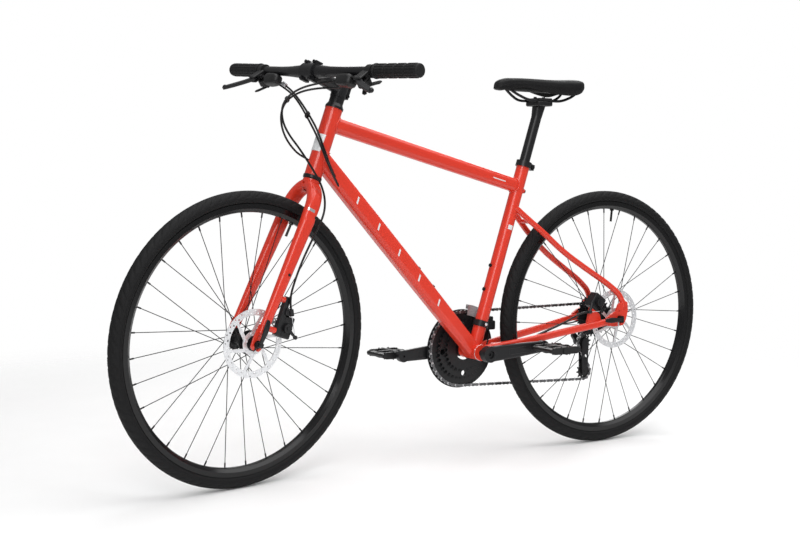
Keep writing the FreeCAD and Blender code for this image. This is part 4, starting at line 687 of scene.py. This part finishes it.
def seam_line(share, wide):
    """Distance of the edge seams from the middle of the saddle."""
    return wide - 3.0 - 6.0 * share


class BIKE_OT_saddle(bpy.types.Operator):
    """Build the padded saddle with its relief channel, sewn edge and base shell"""

    bl_idname = "bike.saddle"
    bl_label = "Saddle"

    nose_seam = 0.128
    nose_seam_rows = (0.1200, 0.1225, 0.1280, 0.1335, 0.1360)
    nose_rounds = ((0.25, -1.6), (0.7, -1.0))
    tail_rounds = ((0.97, 1.6), (0.88, 3.0), (0.70, 4.2), (0.4, 4.9))
    rows = 96
    roof_height = -22.0
    shell_from = 0.115
    shell_run = 0.835
    shell_rows = 40
    shell_top = -22.3
    shell_base = -33.5
    stitches_a_side = 46
    stitch_pitch = 0.0170
    stitch_length = 0.0105
    stitch_radii = (0.0001, 0.00040, 0.00045, 0.00040, 0.0001)

    def ring(self, context, share, shrink=1.0, setback=0.0):
        """Section of the pad: domed top with a channel and seams, hanging skirts, hollow underneath."""
        saddle = context.scene.bike_saddle
        wide, low, brim, crown = saddle_at(share)
        middle = (low + brim) / 2
        wide *= shrink
        crown = middle + (crown - middle) * (0.35 + 0.65 * shrink)
        sunk = 0.9 * math.exp(-((share - self.nose_seam) / 0.004) ** 2)
        wide -= sunk
        crown -= sunk
        inside = eased(share, 0.14, 0.10, 0.97, 0.10)
        outline = []
        for k in range(33):
            angle = math.pi * k / 32
            y = wide * math.cos(angle)
            z = brim + (crown - brim) * math.sin(angle) ** 0.62
            z -= saddle.channel / MM * inside * math.exp(-(y / (5.0 + 3.0 * share)) ** 2)
            seam = abs(abs(y) - seam_line(share, wide))
            z -= saddle.seam / MM * inside * math.exp(-(seam / 0.9) ** 2)
            outline.append((y, z))
        half = []
        for k in range(1, 9):
            t = k / 9
            half.append((wide * (1 - 0.14 * t ** 1.6) + 1.4 * math.sin(math.pi * t), brim + (low - brim) * t))
        hollow = eased(share, 0.10, 0.08, 0.965, 0.05)
        roof = low + (max(low, self.roof_height) - low) * hollow
        half += [(wide * 0.86, low), (wide * 0.82, low - 0.2), (wide * 0.78, low + 0.6), (wide * 0.74, roof)]
        half += [(wide * 0.74 * t, roof + 0.6 * (1 - t)) for t in (0.75, 0.5, 0.25)]
        outline += [(-y, z) for y, z in half]
        outline += [(0.0, roof + 0.6)]
        outline += reversed(half)
        return [on_saddle(share, y, z, setback) for y, z in outline]

    def execute(self, context):
        shares = sorted([k / self.rows for k in range(self.rows + 1)] + list(self.nose_seam_rows))
        rings = [self.ring(context, 0.0, shrink, setback) for shrink, setback in self.nose_rounds]
        rings += [self.ring(context, share) for share in shares]
        rings += [self.ring(context, 1.0, shrink, setback) for shrink, setback in self.tail_rounds]
        piece = skinned("saddle_pad", rings, "saddle", "seat", smooth=60.0)
        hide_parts("saddle")
        self.stitches(piece)
        self.shell()
        return {"FINISHED"}

    def shell(self):
        """Moulded base inside the skirts, which holds the ends of the rails."""
        rings = []
        for k in range(self.shell_rows + 1):
            t = k / self.shell_rows
            share = self.shell_from + self.shell_run * t
            end = math.sqrt(max(0.02, 1 - (2 * t - 1) ** 8))
            base = self.shell_base + 3.0 * max(0.0, share - 0.45)
            low = -23.0 + (base + 23.0) * end
            wide = saddle_at(share)[0] * 0.72 * (0.55 + 0.45 * end)
            middle = (low + self.shell_top) / 2
            half = (self.shell_top - low) / 2
            rings.append([on_saddle(share, wide * squarish(c, 0.45), middle + half * squarish(s, 0.45))
                          for c, s in circle(28)])
        skinned("saddle_shell", rings, "plastic", "seat", smooth=60.0)

    def stitches(self, pad):
        """Short threads along both edge seams."""
        tree = surface_tree(pad.data)
        points = []
        faces = []
        for side in (-1, 1):
            for k in range(self.stitches_a_side):
                start = 0.16 + k * self.stitch_pitch
                ends = []
                for share in (start, start + self.stitch_length):
                    y = side * (seam_line(share, saddle_at(share)[0]) + 2.4)
                    hit = tree.ray_cast(on_saddle(share, y, 40), -UP)[0]
                    ends.append(hit + UP * 0.0001)
                thread_path = [ends[0].lerp(ends[1], t) for t in (0, 0.25, 0.5, 0.75, 1)]
                more, skins = lofted(tube_rings(thread_path, lambda i: self.stitch_radii[i], 6))
                faces += [tuple(i + len(points) for i in skin) for skin in skins]
                points += more
        new_piece("saddle_stitches", mesh_of("saddle_stitches", points, faces), "thread", "seat")


def spline_points(route):
    """Points of a smooth NURBS line that takes the route as its control points."""
    curve = bpy.data.curves.new("route", "CURVE")
    curve.dimensions = "3D"
    spline = curve.splines.new("NURBS")
    spline.points.add(len(route) - 1)
    for target, spot in zip(spline.points, route):
        target.co = (*spot, 1.0)
    spline.order_u = 3
    spline.use_endpoint_u = True
    curve.resolution_u = 10
    holder = bpy.data.objects.new("route", curve)
    mesh = bpy.data.meshes.new_from_object(holder)
    points = [v.co.copy() for v in mesh.vertices]
    bpy.data.objects.remove(holder)
    bpy.data.curves.remove(curve)
    bpy.data.meshes.remove(mesh)
    return points


# Routes of the housings at the front, in fork axes and millimetres
RIGHT_BRAKE = [(82, -114, 617), (77, -76, 601), (70, -42, 579), (61, -7, 551), (46, 20, 522), (27, 34, 491),
               (2, 36, 465)]
RIGHT_SHIFT = [(75, -105, 606), (69, -75, 592), (63, -44, 570), (56, -10, 541), (44, 20, 510), (26, 38, 479),
               (2, 41, 454)]
LEFT_SHIFT = [(71, 96, 615), (74, 62, 612), (89, 34, 604), (112, 15, 588), (132, 6, 566), (142, 2, 542),
              (138, -2, 518), (122, -8, 496), (97, -17, 479), (66, -27, 467), (33, -35, 459), (0, -36, 458)]
FRONT_BRAKE = [(80, 102, 628), (80, 64, 625), (94, 36, 614), (118, 20, 595), (139, 13, 571), (150, 10, 545),
               (146, 10, 520), (132, 12, 498), (109, 16, 479), (80, 24, 461), (50, 32, 439), (22, 39, 417),
               (2, 47, 397), (-14, 54, 370), (-21, 58, 338), (-14, 61, 300), (-4, 63, 258), (3, 63, 214),
               (6, 62.5, 168)]
STOP_TOP = Vector((-9, 62, 100))
ARM_END = Vector((-44, 62, 42))
LEFT_CLIP = (146, 11, 557)
RIGHT_CLIP = (62, -8, 553)

# Entries into the down tube, in head-tube axes and millimetres
PORTS = (((-20, 28, 452), (-64, 10, 424)),
         ((-34, 28, 436), (-78, 10, 410)),
         ((-26, -28, 444), (-70, -10, 417)))

# First two points of a housing at its control: reach, distance along the bar and rise
CONTROL_EXITS = {"brake": ((26, -30, 0), (26, -52, 0)), "shift": ((20, -43, -18), (20, -65, -18))}

# Where a housing's run passes from the turning front end to the fixed frame
RIGHT_BEND = {"start": tuple(on_head((40, 0, 600))), "end": tuple(on_head((40, 0, 445)))}
LEFT_BEND = {"start": tuple(on_head((135, 0, 518))), "end": tuple(on_head((15, 0, 418)))}

HOUSING = 0.005
LOOP_HOUSING = 0.0044
CLIMB_HOUSING = 0.0036


def stay_spot(share, y, rise):
    """Point beside a chainstay at a share of the way from the bottom bracket to the rear axle."""
    spot = bottom_bracket.lerp(REAR_AXLE, share)
    return Vector((spot.x, y * MM, spot.z + rise * MM))


class BIKE_OT_cables(bpy.types.Operator):
    """Lay the cable housings as smooth lines"""

    bl_idname = "bike.cables"
    bl_label = "Cables"

    clip_section = ((0.0026, -0.0040), (0.0043, -0.0034), (0.0047, 0.0), (0.0043, 0.0034), (0.0026, 0.0040))
    caliper_tilt = math.radians(35.0)
    caliper_reach = 0.084

    def housing(self, name, route, diameter, replaced, body=None):
        """Housing along a route, and the path that it takes."""
        path = spline_points(route)
        piece = skinned(name, tube_rings(path, diameter / 2), "housing", body)
        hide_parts(replaced)
        return piece, path

    def clip(self, name, first, second, near, body=None):
        """Flat loop round two housings where they run side by side."""
        a = min(first, key=lambda p: (p - near).length)
        b = min(second, key=lambda p: (p - a).length)
        k = first.index(a)
        way = (first[min(k + 1, len(first) - 1)] - first[max(k - 1, 0)]).normalized()
        over = b - a
        over -= way * over.dot(way)
        gap = over.length
        over.normalize()
        lift = way.cross(over)
        rings = []
        for c, s in circle(32, 0.5):
            centre = a + over * (gap if c > 0 else 0.0)
            out = over * c + lift * s
            rings.append([centre + out * r + way * w for r, w in self.clip_section])
        return skinned(name, rings, "plastic", body, smooth=60.0, closed=True)

    def execute(self, context):
        paths = {}
        exits = {(kind, side): [control_point(*spot, side) for spot in spots]
                 for kind, spots in CONTROL_EXITS.items() for side in (1, -1)}
        for name, kind, side, run, port, bend in (
                ("rear_brake_housing", "brake", -1, RIGHT_BRAKE, PORTS[0], RIGHT_BEND),
                ("rear_shift_housing", "shift", -1, RIGHT_SHIFT, PORTS[1], RIGHT_BEND),
                ("front_shift_housing", "shift", 1, LEFT_SHIFT, PORTS[2], LEFT_BEND)):
            route = [on_steer(p) for p in exits[kind, side] + run] + [on_head(p) for p in port]
            piece, paths[name] = self.housing(name, route, HOUSING, "control_cables")
            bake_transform(piece)
        pull = (STOP_TOP - ARM_END).normalized()
        route = [on_steer(p) for p in exits["brake", 1] + FRONT_BRAKE + [STOP_TOP + pull * 26, STOP_TOP]]
        front_path = self.housing("front_brake_housing", route, HOUSING, "front_brake_cable", "front_end")[1]
        self.clip("left_clip", front_path, paths["front_shift_housing"], on_steer(LEFT_CLIP), "front_end")
        pair = self.clip("right_clip", paths["rear_brake_housing"], paths["rear_shift_housing"],
                         on_steer(RIGHT_CLIP))
        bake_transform(pair)
        self.wire("front_brake_wire", "front_brake_cable", "front_end", "front_brake_arm")
        self.rear_lines()
        self.wire("rear_brake_wire", "rear_cables", "frame", "rear_brake_arm")
        return {"FINISHED"}

    def rear_lines(self):
        """Housings at the rear: to the caliper, round to the derailleur and up to the front derailleur."""
        tilt = self.caliper_tilt
        pivot = REAR_AXLE + Vector((math.cos(tilt), 0, math.sin(tilt))) * self.caliper_reach
        stop = Vector((REAR_AXLE.x + 0.108, 0.071, pivot.z - 0.024))
        hose = [stay_spot(0.33, 38.5, -1), stay_spot(0.47, 45.5, 13.5), stay_spot(0.57, 52, 22),
                stay_spot(0.64, 62, 34), stop + Vector((0.022, 0, 0)), stop + Vector((0.004, 0, 0))]
        self.housing("rear_brake_hose", hose, HOUSING, "rear_cables", "frame")
        root = REAR_AXLE + Vector((-0.020, 0, -0.053))
        loop = [stay_spot(0.70, -58, 0), stay_spot(0.86, -69, -15),
                REAR_AXLE + Vector((0.014, -0.088, -0.022)), REAR_AXLE + Vector((-0.058, -0.095, -0.016)),
                root + Vector((-0.040, -0.083, -0.001)), root + Vector((-0.0093, -0.0805, 0))]
        self.housing("rear_shift_loop", loop, LOOP_HOUSING, "rear_cables", "frame")
        climb = [(0, -3, -21.9), (-26, -4, -19.5), (-46, -8, 4), (-62, -18, 26), (-62, -18, 50)]
        climb = [bottom_bracket + Vector(p) * MM for p in climb]
        self.housing("front_shift_climb", climb, CLIMB_HOUSING, "rear_cables", "frame")

    def wire(self, name, node, fixed, arm):
        """Thin bare wire from the housing stop to a caliper arm."""
        points, faces, groups = node_solids(node)
        tight = min(groups, key=lambda g: self.area(points, faces, g))
        mesh = copied_mesh(name, points, faces, [tight])
        piece = new_piece(name, mesh, "silver")
        low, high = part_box(arm)
        arm_middle = (Vector(low) + Vector(high)) / 2
        ends = sorted(self.far_ends(mesh), key=lambda p: -(p - arm_middle).length)
        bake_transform(piece)
        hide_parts(node)

    def area(self, points, faces, group):
        """Surface of one solid."""
        total = 0.0
        for number in group:
            corners = [points[i] for i in faces[number]]
            for b, c in zip(corners[1:], corners[2:]):
                total += (b - corners[0]).cross(c - corners[0]).length / 2
        return total

    def far_ends(self, mesh):
        """Two corners of a mesh that lie furthest apart."""
        spots = [v.co for v in mesh.vertices]
        first = max(spots, key=lambda p: (p - spots[0]).length)
        second = max(spots, key=lambda p: (p - first).length)
        return [first.copy(), second.copy()]


class BIKE_OT_drive(bpy.types.Operator):
    """Split the chain into runs, the run in the cage riding on the rear derailleur, and copy the derailleur
    links
    """

    bl_idname = "bike.drive"
    bl_label = "Chain and links"

    cage_front = -0.490
    cage_top = 0.290
    sprocket_foot = 0.3105
    lower_run_top = 0.215
    ring_back = -0.150
    inner_link_half = 0.00235
    bends = {
        "chain_lower": {"start": (-0.150, -0.054, 0.18), "end": (-0.490, -0.054, 0.18)},
        "chain_upper": {"start": (-0.54, -0.054, 0.312), "end": (-0.54, -0.054, 0.289)},
        "link_plates": {"start": (-0.5665, -0.08, 0.293), "end": (-0.518, -0.08, 0.285)},
    }
    bodies = {"chain_fixed": "frame", "chain_cage": "rear_derailleur"}

    def run_of(self, spot):
        """Run of the chain that a link belongs to."""
        if spot.x < self.cage_front and spot.z < self.cage_top:
            return "chain_cage"
        if spot.x < self.cage_front and spot.z < self.sprocket_foot:
            return "chain_upper"
        if spot.z < self.lower_run_top and spot.x < self.ring_back:
            return "chain_lower"
        return "chain_fixed"

    def execute(self, context):
        points, faces, groups = node_solids("chain")
        plane = (min(p.y for p in points) + max(p.y for p in points)) / 2
        runs = {"chain_fixed": [], "chain_lower": [], "chain_cage": [], "chain_upper": []}
        for group in groups:
            runs[self.run_of(solid_centre(points, faces, group))].append(group)
        for name, links in runs.items():
            if not links:
                raise RuntimeError("no links found for " + name)
            mesh = copied_mesh(name, points, faces, links)
            piece = new_piece(name, mesh, "chain_steel", self.bodies.get(name))
            mesh.materials.append(finish("link"))
            for polygon in mesh.polygons:
                if abs(polygon.center.y - plane) < self.inner_link_half:
                    polygon.material_index = 1
            if name in self.bends:
                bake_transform(piece)
            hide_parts("chain")
        plates = copied_mesh("link_plates", *node_solids("rd_links"))
        piece = new_piece("link_plates", plates, "black")
        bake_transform(piece)
        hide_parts("rd_links")
        return {"FINISHED"}


class BIKE_OT_welds(bpy.types.Operator):
    """Run a smooth painted bead round the top tube's joints with the head and seat tubes and the down tube's
    joint with the head tube
    """

    bl_idname = "bike.welds"
    bl_label = "Welds"

    radius = 0.0026
    steps = 72
    fewest_steps = 40
    probe = 0.08
    skin_gap = 0.0004

    def bead(self, name, tube, host, start, way, reach):
        """Bead where a tube meets its host: walk round the tube and look along it for the host."""
        own = node_tree(tube)
        other = node_tree(host)
        way = way.normalized()
        side = way.orthogonal().normalized()
        up = way.cross(side)
        path = []
        for c, s in circle(self.steps):
            out = side * c + up * s
            skin = own.ray_cast(start + out * self.probe, -out, self.probe)[0]
            if skin is None:
                continue
            hit = other.ray_cast(skin + out * self.skin_gap, way, reach)[0]
            if hit is not None:
                path.append(hit)
        if len(path) < self.fewest_steps:
            raise RuntimeError("no joint found for " + name)
        skinned(name, bead_rings(path, way, self.radius, 10), "paint", "frame", smooth=80.0, closed=True)

    def execute(self, context):
        top = top_head - seat_top
        down = down_head - bottom_bracket
        self.bead("weld_top_head", "top_tube", "head_tube", seat_top + top * 0.88, top, 0.12)
        self.bead("weld_top_seat", "top_tube", "seat_tube", seat_top + top * 0.12, -top, 0.12)
        self.bead("weld_down_head", "down_tube", "head_tube", bottom_bracket + down * 0.86, down, 0.15)
        return {"FINISHED"}


def four_corners(middle, along, up, lean=Vector((0, 0, 0))):
    """Corners of a plate from its middle, half its length and half its height, leaning along its length."""
    return [middle - along - up - lean, middle + along - up - lean,
            middle + along + up + lean, middle - along + up + lean]


class BIKE_OT_trim(bpy.types.Operator):
    """Add plain stripes and plates, shifter covers, knurled adjusters and small bolts"""

    bl_idname = "bike.trim"
    bl_label = "Trim"

    adjusters = {1: ((80.4, 101.0, 628.0), (86.0, 113.5, 627.6)),
                 -1: ((80.4, -102.0, 612.2), (83.0, -115.0, 617.5))}
    adjuster_length = 0.0135
    adjuster_radius = 0.0052
    pod_middle = Vector((95.5, 139.0, 621.0))
    pod_half_length = 27.0
    pod_seam = 146.0
    fork_band = ((25, 331), (6, 329), (6, 336), (25, 338))
    fork_face = 58.5
    fork_bosses = ((-1.7, 320.1), (25.0, 173.5))
    dash_shares = (0.27, 0.40, 0.53, 0.66, 0.79)
    dash_half_width = 0.0026
    dash_half_height = 0.0075
    dash_lean = 0.004
    line_share = 0.125
    line_half_share = 0.035
    line_half_height = 0.0012
    seat_plate_height = 0.335
    seat_plate_half = (0.007, 0.006)
    probe = 0.2
    plate_sunk = 0.0006

    def patch(self, name, node, body, corners, along, finish_name="print", lift=0.00022, steps=(24, 8)):
        """Thin plate laid on a node: a four-cornered patch pressed onto it along a direction."""
        tree = node_tree(node)
        way = Vector(along).normalized()
        a, b, c, d = corners
        tops = []
        lows = []
        for i in range(steps[0] + 1):
            for j in range(steps[1] + 1):
                s, t = i / steps[0], j / steps[1]
                spot = a.lerp(b, s).lerp(d.lerp(c, s), t)
                hit = tree.ray_cast(spot - way * self.probe, way, 2 * self.probe)[0]
                if hit is None:
                    raise RuntimeError("no surface under " + name)
                tops.append(hit - way * lift)
                lows.append(hit + way * self.plate_sunk)
        wide = steps[1] + 1
        faces = []
        shift = len(tops)
        for i in range(steps[0]):
            for j in range(steps[1]):
                q = (i * wide + j, (i + 1) * wide + j, (i + 1) * wide + j + 1, i * wide + j + 1)
                faces.append(q)
                faces.append(tuple(k + shift for k in reversed(q)))
        edge = [i * wide for i in range(steps[0] + 1)]
        edge += [steps[0] * wide + j for j in range(1, wide)]
        edge += [i * wide + steps[1] for i in range(steps[0] - 1, -1, -1)]
        edge += range(steps[1] - 1, 0, -1)
        for k, i in enumerate(edge):
            j = edge[(k + 1) % len(edge)]
            faces.append((i, j, j + shift, i + shift))
        new_piece(name, mesh_of(name, tops + lows, faces), finish_name, body, smooth=50.0)

    def knurled(self, name, start, axis, teeth=18):
        """Bright adjuster with a toothed edge."""
        length = self.adjuster_length
        radius = self.adjuster_radius

        def shape(distance, r, angle):
            return r + 0.00025 * math.sin(teeth * angle)

        profile = [(0.0, radius * 0.3), (0.0, radius * 0.86), (0.0006, radius), (length - 0.0006, radius),
                   (length, radius * 0.86), (length, radius * 0.3)]
        rings = around(start, axis, profile, teeth * 6, shape)
        skinned(name, rings, "silver", "front_end", smooth=40.0)

    def button(self, name, at, axis, radius, height, finish_name, body):
        """Domed bolt head with a six-sided socket."""
        def socket(distance, r, angle):
            if 0.3 * radius < r < 0.5 * radius:
                return r * math.cos(math.pi / 6) / math.cos((angle % (math.pi / 3)) - math.pi / 6)
            return r

        profile = [(-0.0008, radius * 0.2), (-0.0008, radius)]
        profile += [(height * h, radius * r) for h, r in (
            (0.55, 1.0), (0.85, 0.88), (1.0, 0.66), (1.0, 0.44), (0.4, 0.42), (0.35, 0.05))]
        skinned(name, around(at, axis, profile, 36, socket), finish_name, body, smooth=40.0)

    def hoop(self, name, centre, axis, radius, thick, finish_name, body):
        """Round ring about an axis."""
        side = axis.orthogonal().normalized()
        other = axis.cross(side)
        rings = []
        for c, s in circle(72):
            out = side * c + other * s
            rings.append([centre + out * (radius + thick * a) + axis * (thick * b) for a, b in circle(10)])
        skinned(name, rings, finish_name, body, smooth=60.0, closed=True)

    def execute(self, context):
        for side, label in SIDES:
            start, end = (on_steer(p) for p in self.adjusters[side])
            self.knurled(label + "_adjuster", start, end - start)
            self.pod(label, side)
        self.head_plate()
        for side, label in SIDES:
            self.stripes(label, side)
        for side, label in SIDES:
            self.fork_details(label, side)
        self.frame_details()
        return {"FINISHED"}

    def pod(self, label, side):
        """Rounded cover of a shifter under the bar, from which the two housings leave."""
        rings = []
        for k in range(33):
            t = math.sin(math.pi * (k / 32 - 0.5))
            end = (1 - abs(t) ** 4) ** 0.4 if abs(t) < 1 else 0.02
            out = self.pod_half_length * t
            y = self.pod_middle.y + out
            full = end * (0.93 if abs(y - self.pod_seam) < 0.8 else 1.0)
            x = self.pod_middle.x - 0.071 * out
            rings.append([on_steer((x + (16.0 + 2.0 * t) * full * squarish(c, 0.6), side * y,
                                    self.pod_middle.z + (14.5 + 1.5 * t) * full * squarish(s, 0.6)))
                          for c, s in circle(40)])
        skinned(label + "_shifter_cover", rings, "plastic", "front_end", smooth=50.0)

    def head_plate(self):
        """Bare curved plate on the front of the head tube, a little wider at its top."""
        centre = on_head((0, 0, 497))
        rise = fork_up * 0.021
        top = ACROSS * 0.0192
        foot = ACROSS * 0.0180
        corners = [centre - top + rise, centre - foot - rise, centre + foot - rise, centre + top + rise]
        self.patch("head_plate", "head_tube", "frame", corners, -fork_forward, lift=0.0008, steps=(10, 36))

    def stripes(self, label, side):
        """Short plain dashes on the down tube, a line on the top tube and a plate on the seat tube."""
        inward = ACROSS * -side
        down = down_head - bottom_bracket
        along = down.normalized()
        rise = Vector((-down.z, 0, down.x)).normalized()
        for number, share in enumerate(self.dash_shares):
            corners = four_corners(bottom_bracket + down * share, along * self.dash_half_width,
                                   rise * self.dash_half_height, along * self.dash_lean)
            self.patch("%s_dash_%d" % (label, number), "down_tube", "frame", corners, inward, steps=(6, 12))
        top = top_head - seat_top
        way = top.normalized()
        over = Vector((-way.z, 0, way.x))
        corners = four_corners(seat_top + top * self.line_share, top * self.line_half_share,
                               over * self.line_half_height)
        self.patch(label + "_top_line", "top_tube", "frame", corners, inward, steps=(16, 4))
        ahead = Vector((seat_up.z, 0, -seat_up.x))
        half_width, half_height = self.seat_plate_half
        corners = four_corners(bottom_bracket + seat_up * self.seat_plate_height, ahead * half_width,
                               seat_up * half_height)
        self.patch(label + "_seat_plate", "seat_tube", "frame", corners, inward, steps=(12, 8))

    def fork_details(self, label, side):
        """Pale band and boss bolts on the outer face of a fork leg."""
        tree = node_tree("fork")
        inward = steer_y * -side
        corners = [on_steer((x, side * self.fork_face, z)) for x, z in self.fork_band]
        self.patch(label + "_fork_band", "fork", "front_end", corners, inward, "silver", steps=(16, 6))
        for number, (x, z) in enumerate(self.fork_bosses):
            name = "%s_boss_bolt_%d" % (label, number)
            hit = tree.ray_cast(on_steer((x, 0, z)) - inward * self.probe, inward, 2 * self.probe)[0]
            if hit is None:
                raise RuntimeError("no leg under " + name)
            self.button(name, hit, -inward, 0.0034, 0.0022, "plastic", "front_end")

    def frame_details(self):
        """Bright ring at the bottom bracket, front derailleur's clamp bolt and plug behind the seat tube."""
        ring_at = bottom_bracket + ACROSS * 0.0342
        bolt_at = bottom_bracket + seat_up * 0.074 + ACROSS * 0.0236
        self.hoop("bracket_ring", ring_at, ACROSS, 0.0203, 0.0007, "silver", "frame")
        self.button("band_bolt", bolt_at, ACROSS, 0.0042, 0.0030, "silver", "frame")
        behind = Vector((-seat_up.z, 0, seat_up.x))
        upper = [v.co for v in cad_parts["seat_tube"].data.vertices
                 if seat_up.dot(v.co - bottom_bracket) > 0.3]
        reach = max(behind.dot(p - bottom_bracket) for p in upper)
        edge = [p for p in upper if behind.dot(p - bottom_bracket) > reach - 0.0004]
        boss = sum(edge, Vector()) / len(edge)
        self.button("seat_plug", boss, behind, 0.0042, 0.0050, "plastic", "frame")


class BIKE_OT_stage(bpy.types.Operator):
    """Set the floor, the soft studio light and the camera"""

    bl_idname = "bike.stage"
    bl_label = "Stage"

    floor_radius = 3.0
    fade_from = 1.3
    fade_to = 2.6
    floor_drop = 0.0006
    fill_light = 0.32
    lamps = (("top", (-0.6, 0.8, 3.6), (-0.2, 0.2, 0.0), 4.5, 150.0),
             ("key", (2.6, 3.2, 2.6), (0.0, 0.0, 0.5), 2.0, 70.0),
             ("back", (-2.6, -3.4, 2.4), (0.0, 0.0, 0.4), 2.5, 60.0))

    def execute(self, context):
        stage = context.scene.bike_stage
        self.camera(context, stage)
        self.floor(context, stage)
        self.lights(context)
        context.scene.view_settings.view_transform = "Standard"
        return {"FINISHED"}

    def camera(self, context, stage):
        """Camera turned by its yaw, pitch and roll."""
        data = bpy.data.cameras.new("camera")
        data.lens = stage.lens
        data.sensor_width = 36.0
        data.clip_end = 100.0
        camera = bpy.data.objects.new("camera", data)
        context.scene.collection.objects.link(camera)
        level = math.cos(stage.pitch)
        forward = Vector((level * math.cos(stage.yaw), level * math.sin(stage.yaw), math.sin(stage.pitch)))
        right = forward.cross(UP).normalized()
        up = right.cross(forward)
        c, s = math.cos(stage.roll), math.sin(stage.roll)
        matrix = Matrix((right * c + up * s, up * c - right * s, -forward)).transposed().to_4x4()
        matrix.translation = Vector(stage.camera_at)
        camera.matrix_world = matrix
        context.scene.camera = camera

    def floor(self, context, stage):
        """Round pale floor whose rim fades out, so that it meets the backdrop without an edge."""
        pale = tuple(stage.floor_colour)
        material = surface("bike_floor", pale, tint(pale, 0.985), (0.75, 0.85), scale=6.0, specular=0.15)
        nodes = material.node_tree.nodes
        links = material.node_tree.links
        place = nodes.new("ShaderNodeTexCoord")
        length = nodes.new("ShaderNodeVectorMath")
        length.operation = "LENGTH"
        links.new(place.outputs["Object"], length.inputs[0])
        fade = nodes.new("ShaderNodeMapRange")
        fade.interpolation_type = "SMOOTHSTEP"
        fade.inputs["From Min"].default_value = self.fade_from
        fade.inputs["From Max"].default_value = self.fade_to
        fade.inputs["To Min"].default_value = 1.0
        fade.inputs["To Max"].default_value = 0.0
        links.new(length.outputs["Value"], fade.inputs["Value"])
        links.new(fade.outputs["Result"], nodes["Principled BSDF"].inputs["Alpha"])
        shell = bmesh.new()
        bmesh.ops.create_circle(shell, cap_ends=True, segments=96, radius=self.floor_radius)
        mesh = bpy.data.meshes.new("floor")
        shell.to_mesh(mesh)
        shell.free()
        mesh.materials.append(material)
        floor = bpy.data.objects.new("floor", mesh)
        floor.location.z = -self.floor_drop
        context.scene.collection.objects.link(floor)

    def lights(self, context):
        """White backdrop with a weaker fill light, and three large soft lamps."""
        world = bpy.data.worlds.new("studio")
        context.scene.world = world
        world.use_nodes = True
        nodes = world.node_tree.nodes
        links = world.node_tree.links
        background = nodes["Background"]
        background.inputs["Color"].default_value = (1.0, 1.0, 1.0, 1.0)
        path = nodes.new("ShaderNodeLightPath")
        spread = nodes.new("ShaderNodeMapRange")
        spread.inputs["To Min"].default_value = self.fill_light
        spread.inputs["To Max"].default_value = 1.0
        links.new(path.outputs["Is Camera Ray"], spread.inputs["Value"])
        links.new(spread.outputs["Result"], background.inputs["Strength"])
        for name, at, target, size, watts in self.lamps:
            data = bpy.data.lights.new(name, "AREA")
            data.energy = watts
            data.size = size
            light = bpy.data.objects.new(name, data)
            context.scene.collection.objects.link(light)
            turn = (Vector(target) - Vector(at)).to_track_quat("-Z", "Y").to_matrix().to_4x4()
            light.matrix_world = Matrix.Translation(Vector(at)) @ turn


class BIKE_PT_panel(bpy.types.Panel):
    """Sizes, colours and steps of the bike's finish"""

    bl_idname = "BIKE_PT_panel"
    bl_label = "Hybrid bike"
    bl_space_type = "VIEW_3D"
    bl_region_type = "UI"
    bl_category = "Bike"

    def draw(self, context):
        for name, group in GROUPS:
            box = self.layout.box()
            for field in group.__annotations__:
                box.prop(getattr(context.scene, name), field)
        for operator in OPERATORS:
            self.layout.operator(operator.bl_idname)


GROUPS = (("bike_paint", BikePaint), ("bike_tyre", BikeTyre), ("bike_grip", BikeGrip),
          ("bike_saddle", BikeSaddle), ("bike_stage", BikeStage))
OPERATORS = (BIKE_OT_materials, BIKE_OT_stage, BIKE_OT_cables, BIKE_OT_tyres, BIKE_OT_grips, BIKE_OT_saddle,
             BIKE_OT_drive, BIKE_OT_welds, BIKE_OT_trim)


def register():
    """Add the settings, the steps and the panel."""
    for name, group in GROUPS:
        bpy.utils.register_class(group)
        setattr(bpy.types.Scene, name, PointerProperty(type=group))
    for operator in OPERATORS:
        bpy.utils.register_class(operator)
    bpy.utils.register_class(BIKE_PT_panel)


def unregister():
    """Take them away again, the last one first."""
    bpy.utils.unregister_class(BIKE_PT_panel)
    for operator in reversed(OPERATORS):
        bpy.utils.unregister_class(operator)
    for name, group in reversed(GROUPS):
        delattr(bpy.types.Scene, name)
        bpy.utils.unregister_class(group)


def main():
    """Register the add-on and run each step."""
    register()
    bpy.ops.bike.materials()
    bpy.ops.bike.stage()
    bpy.ops.bike.cables()
    bpy.ops.bike.tyres()
    bpy.ops.bike.grips()
    bpy.ops.bike.saddle()
    bpy.ops.bike.drive()
    bpy.ops.bike.welds()
    bpy.ops.bike.trim()


if __name__ == "__main__":
    main()
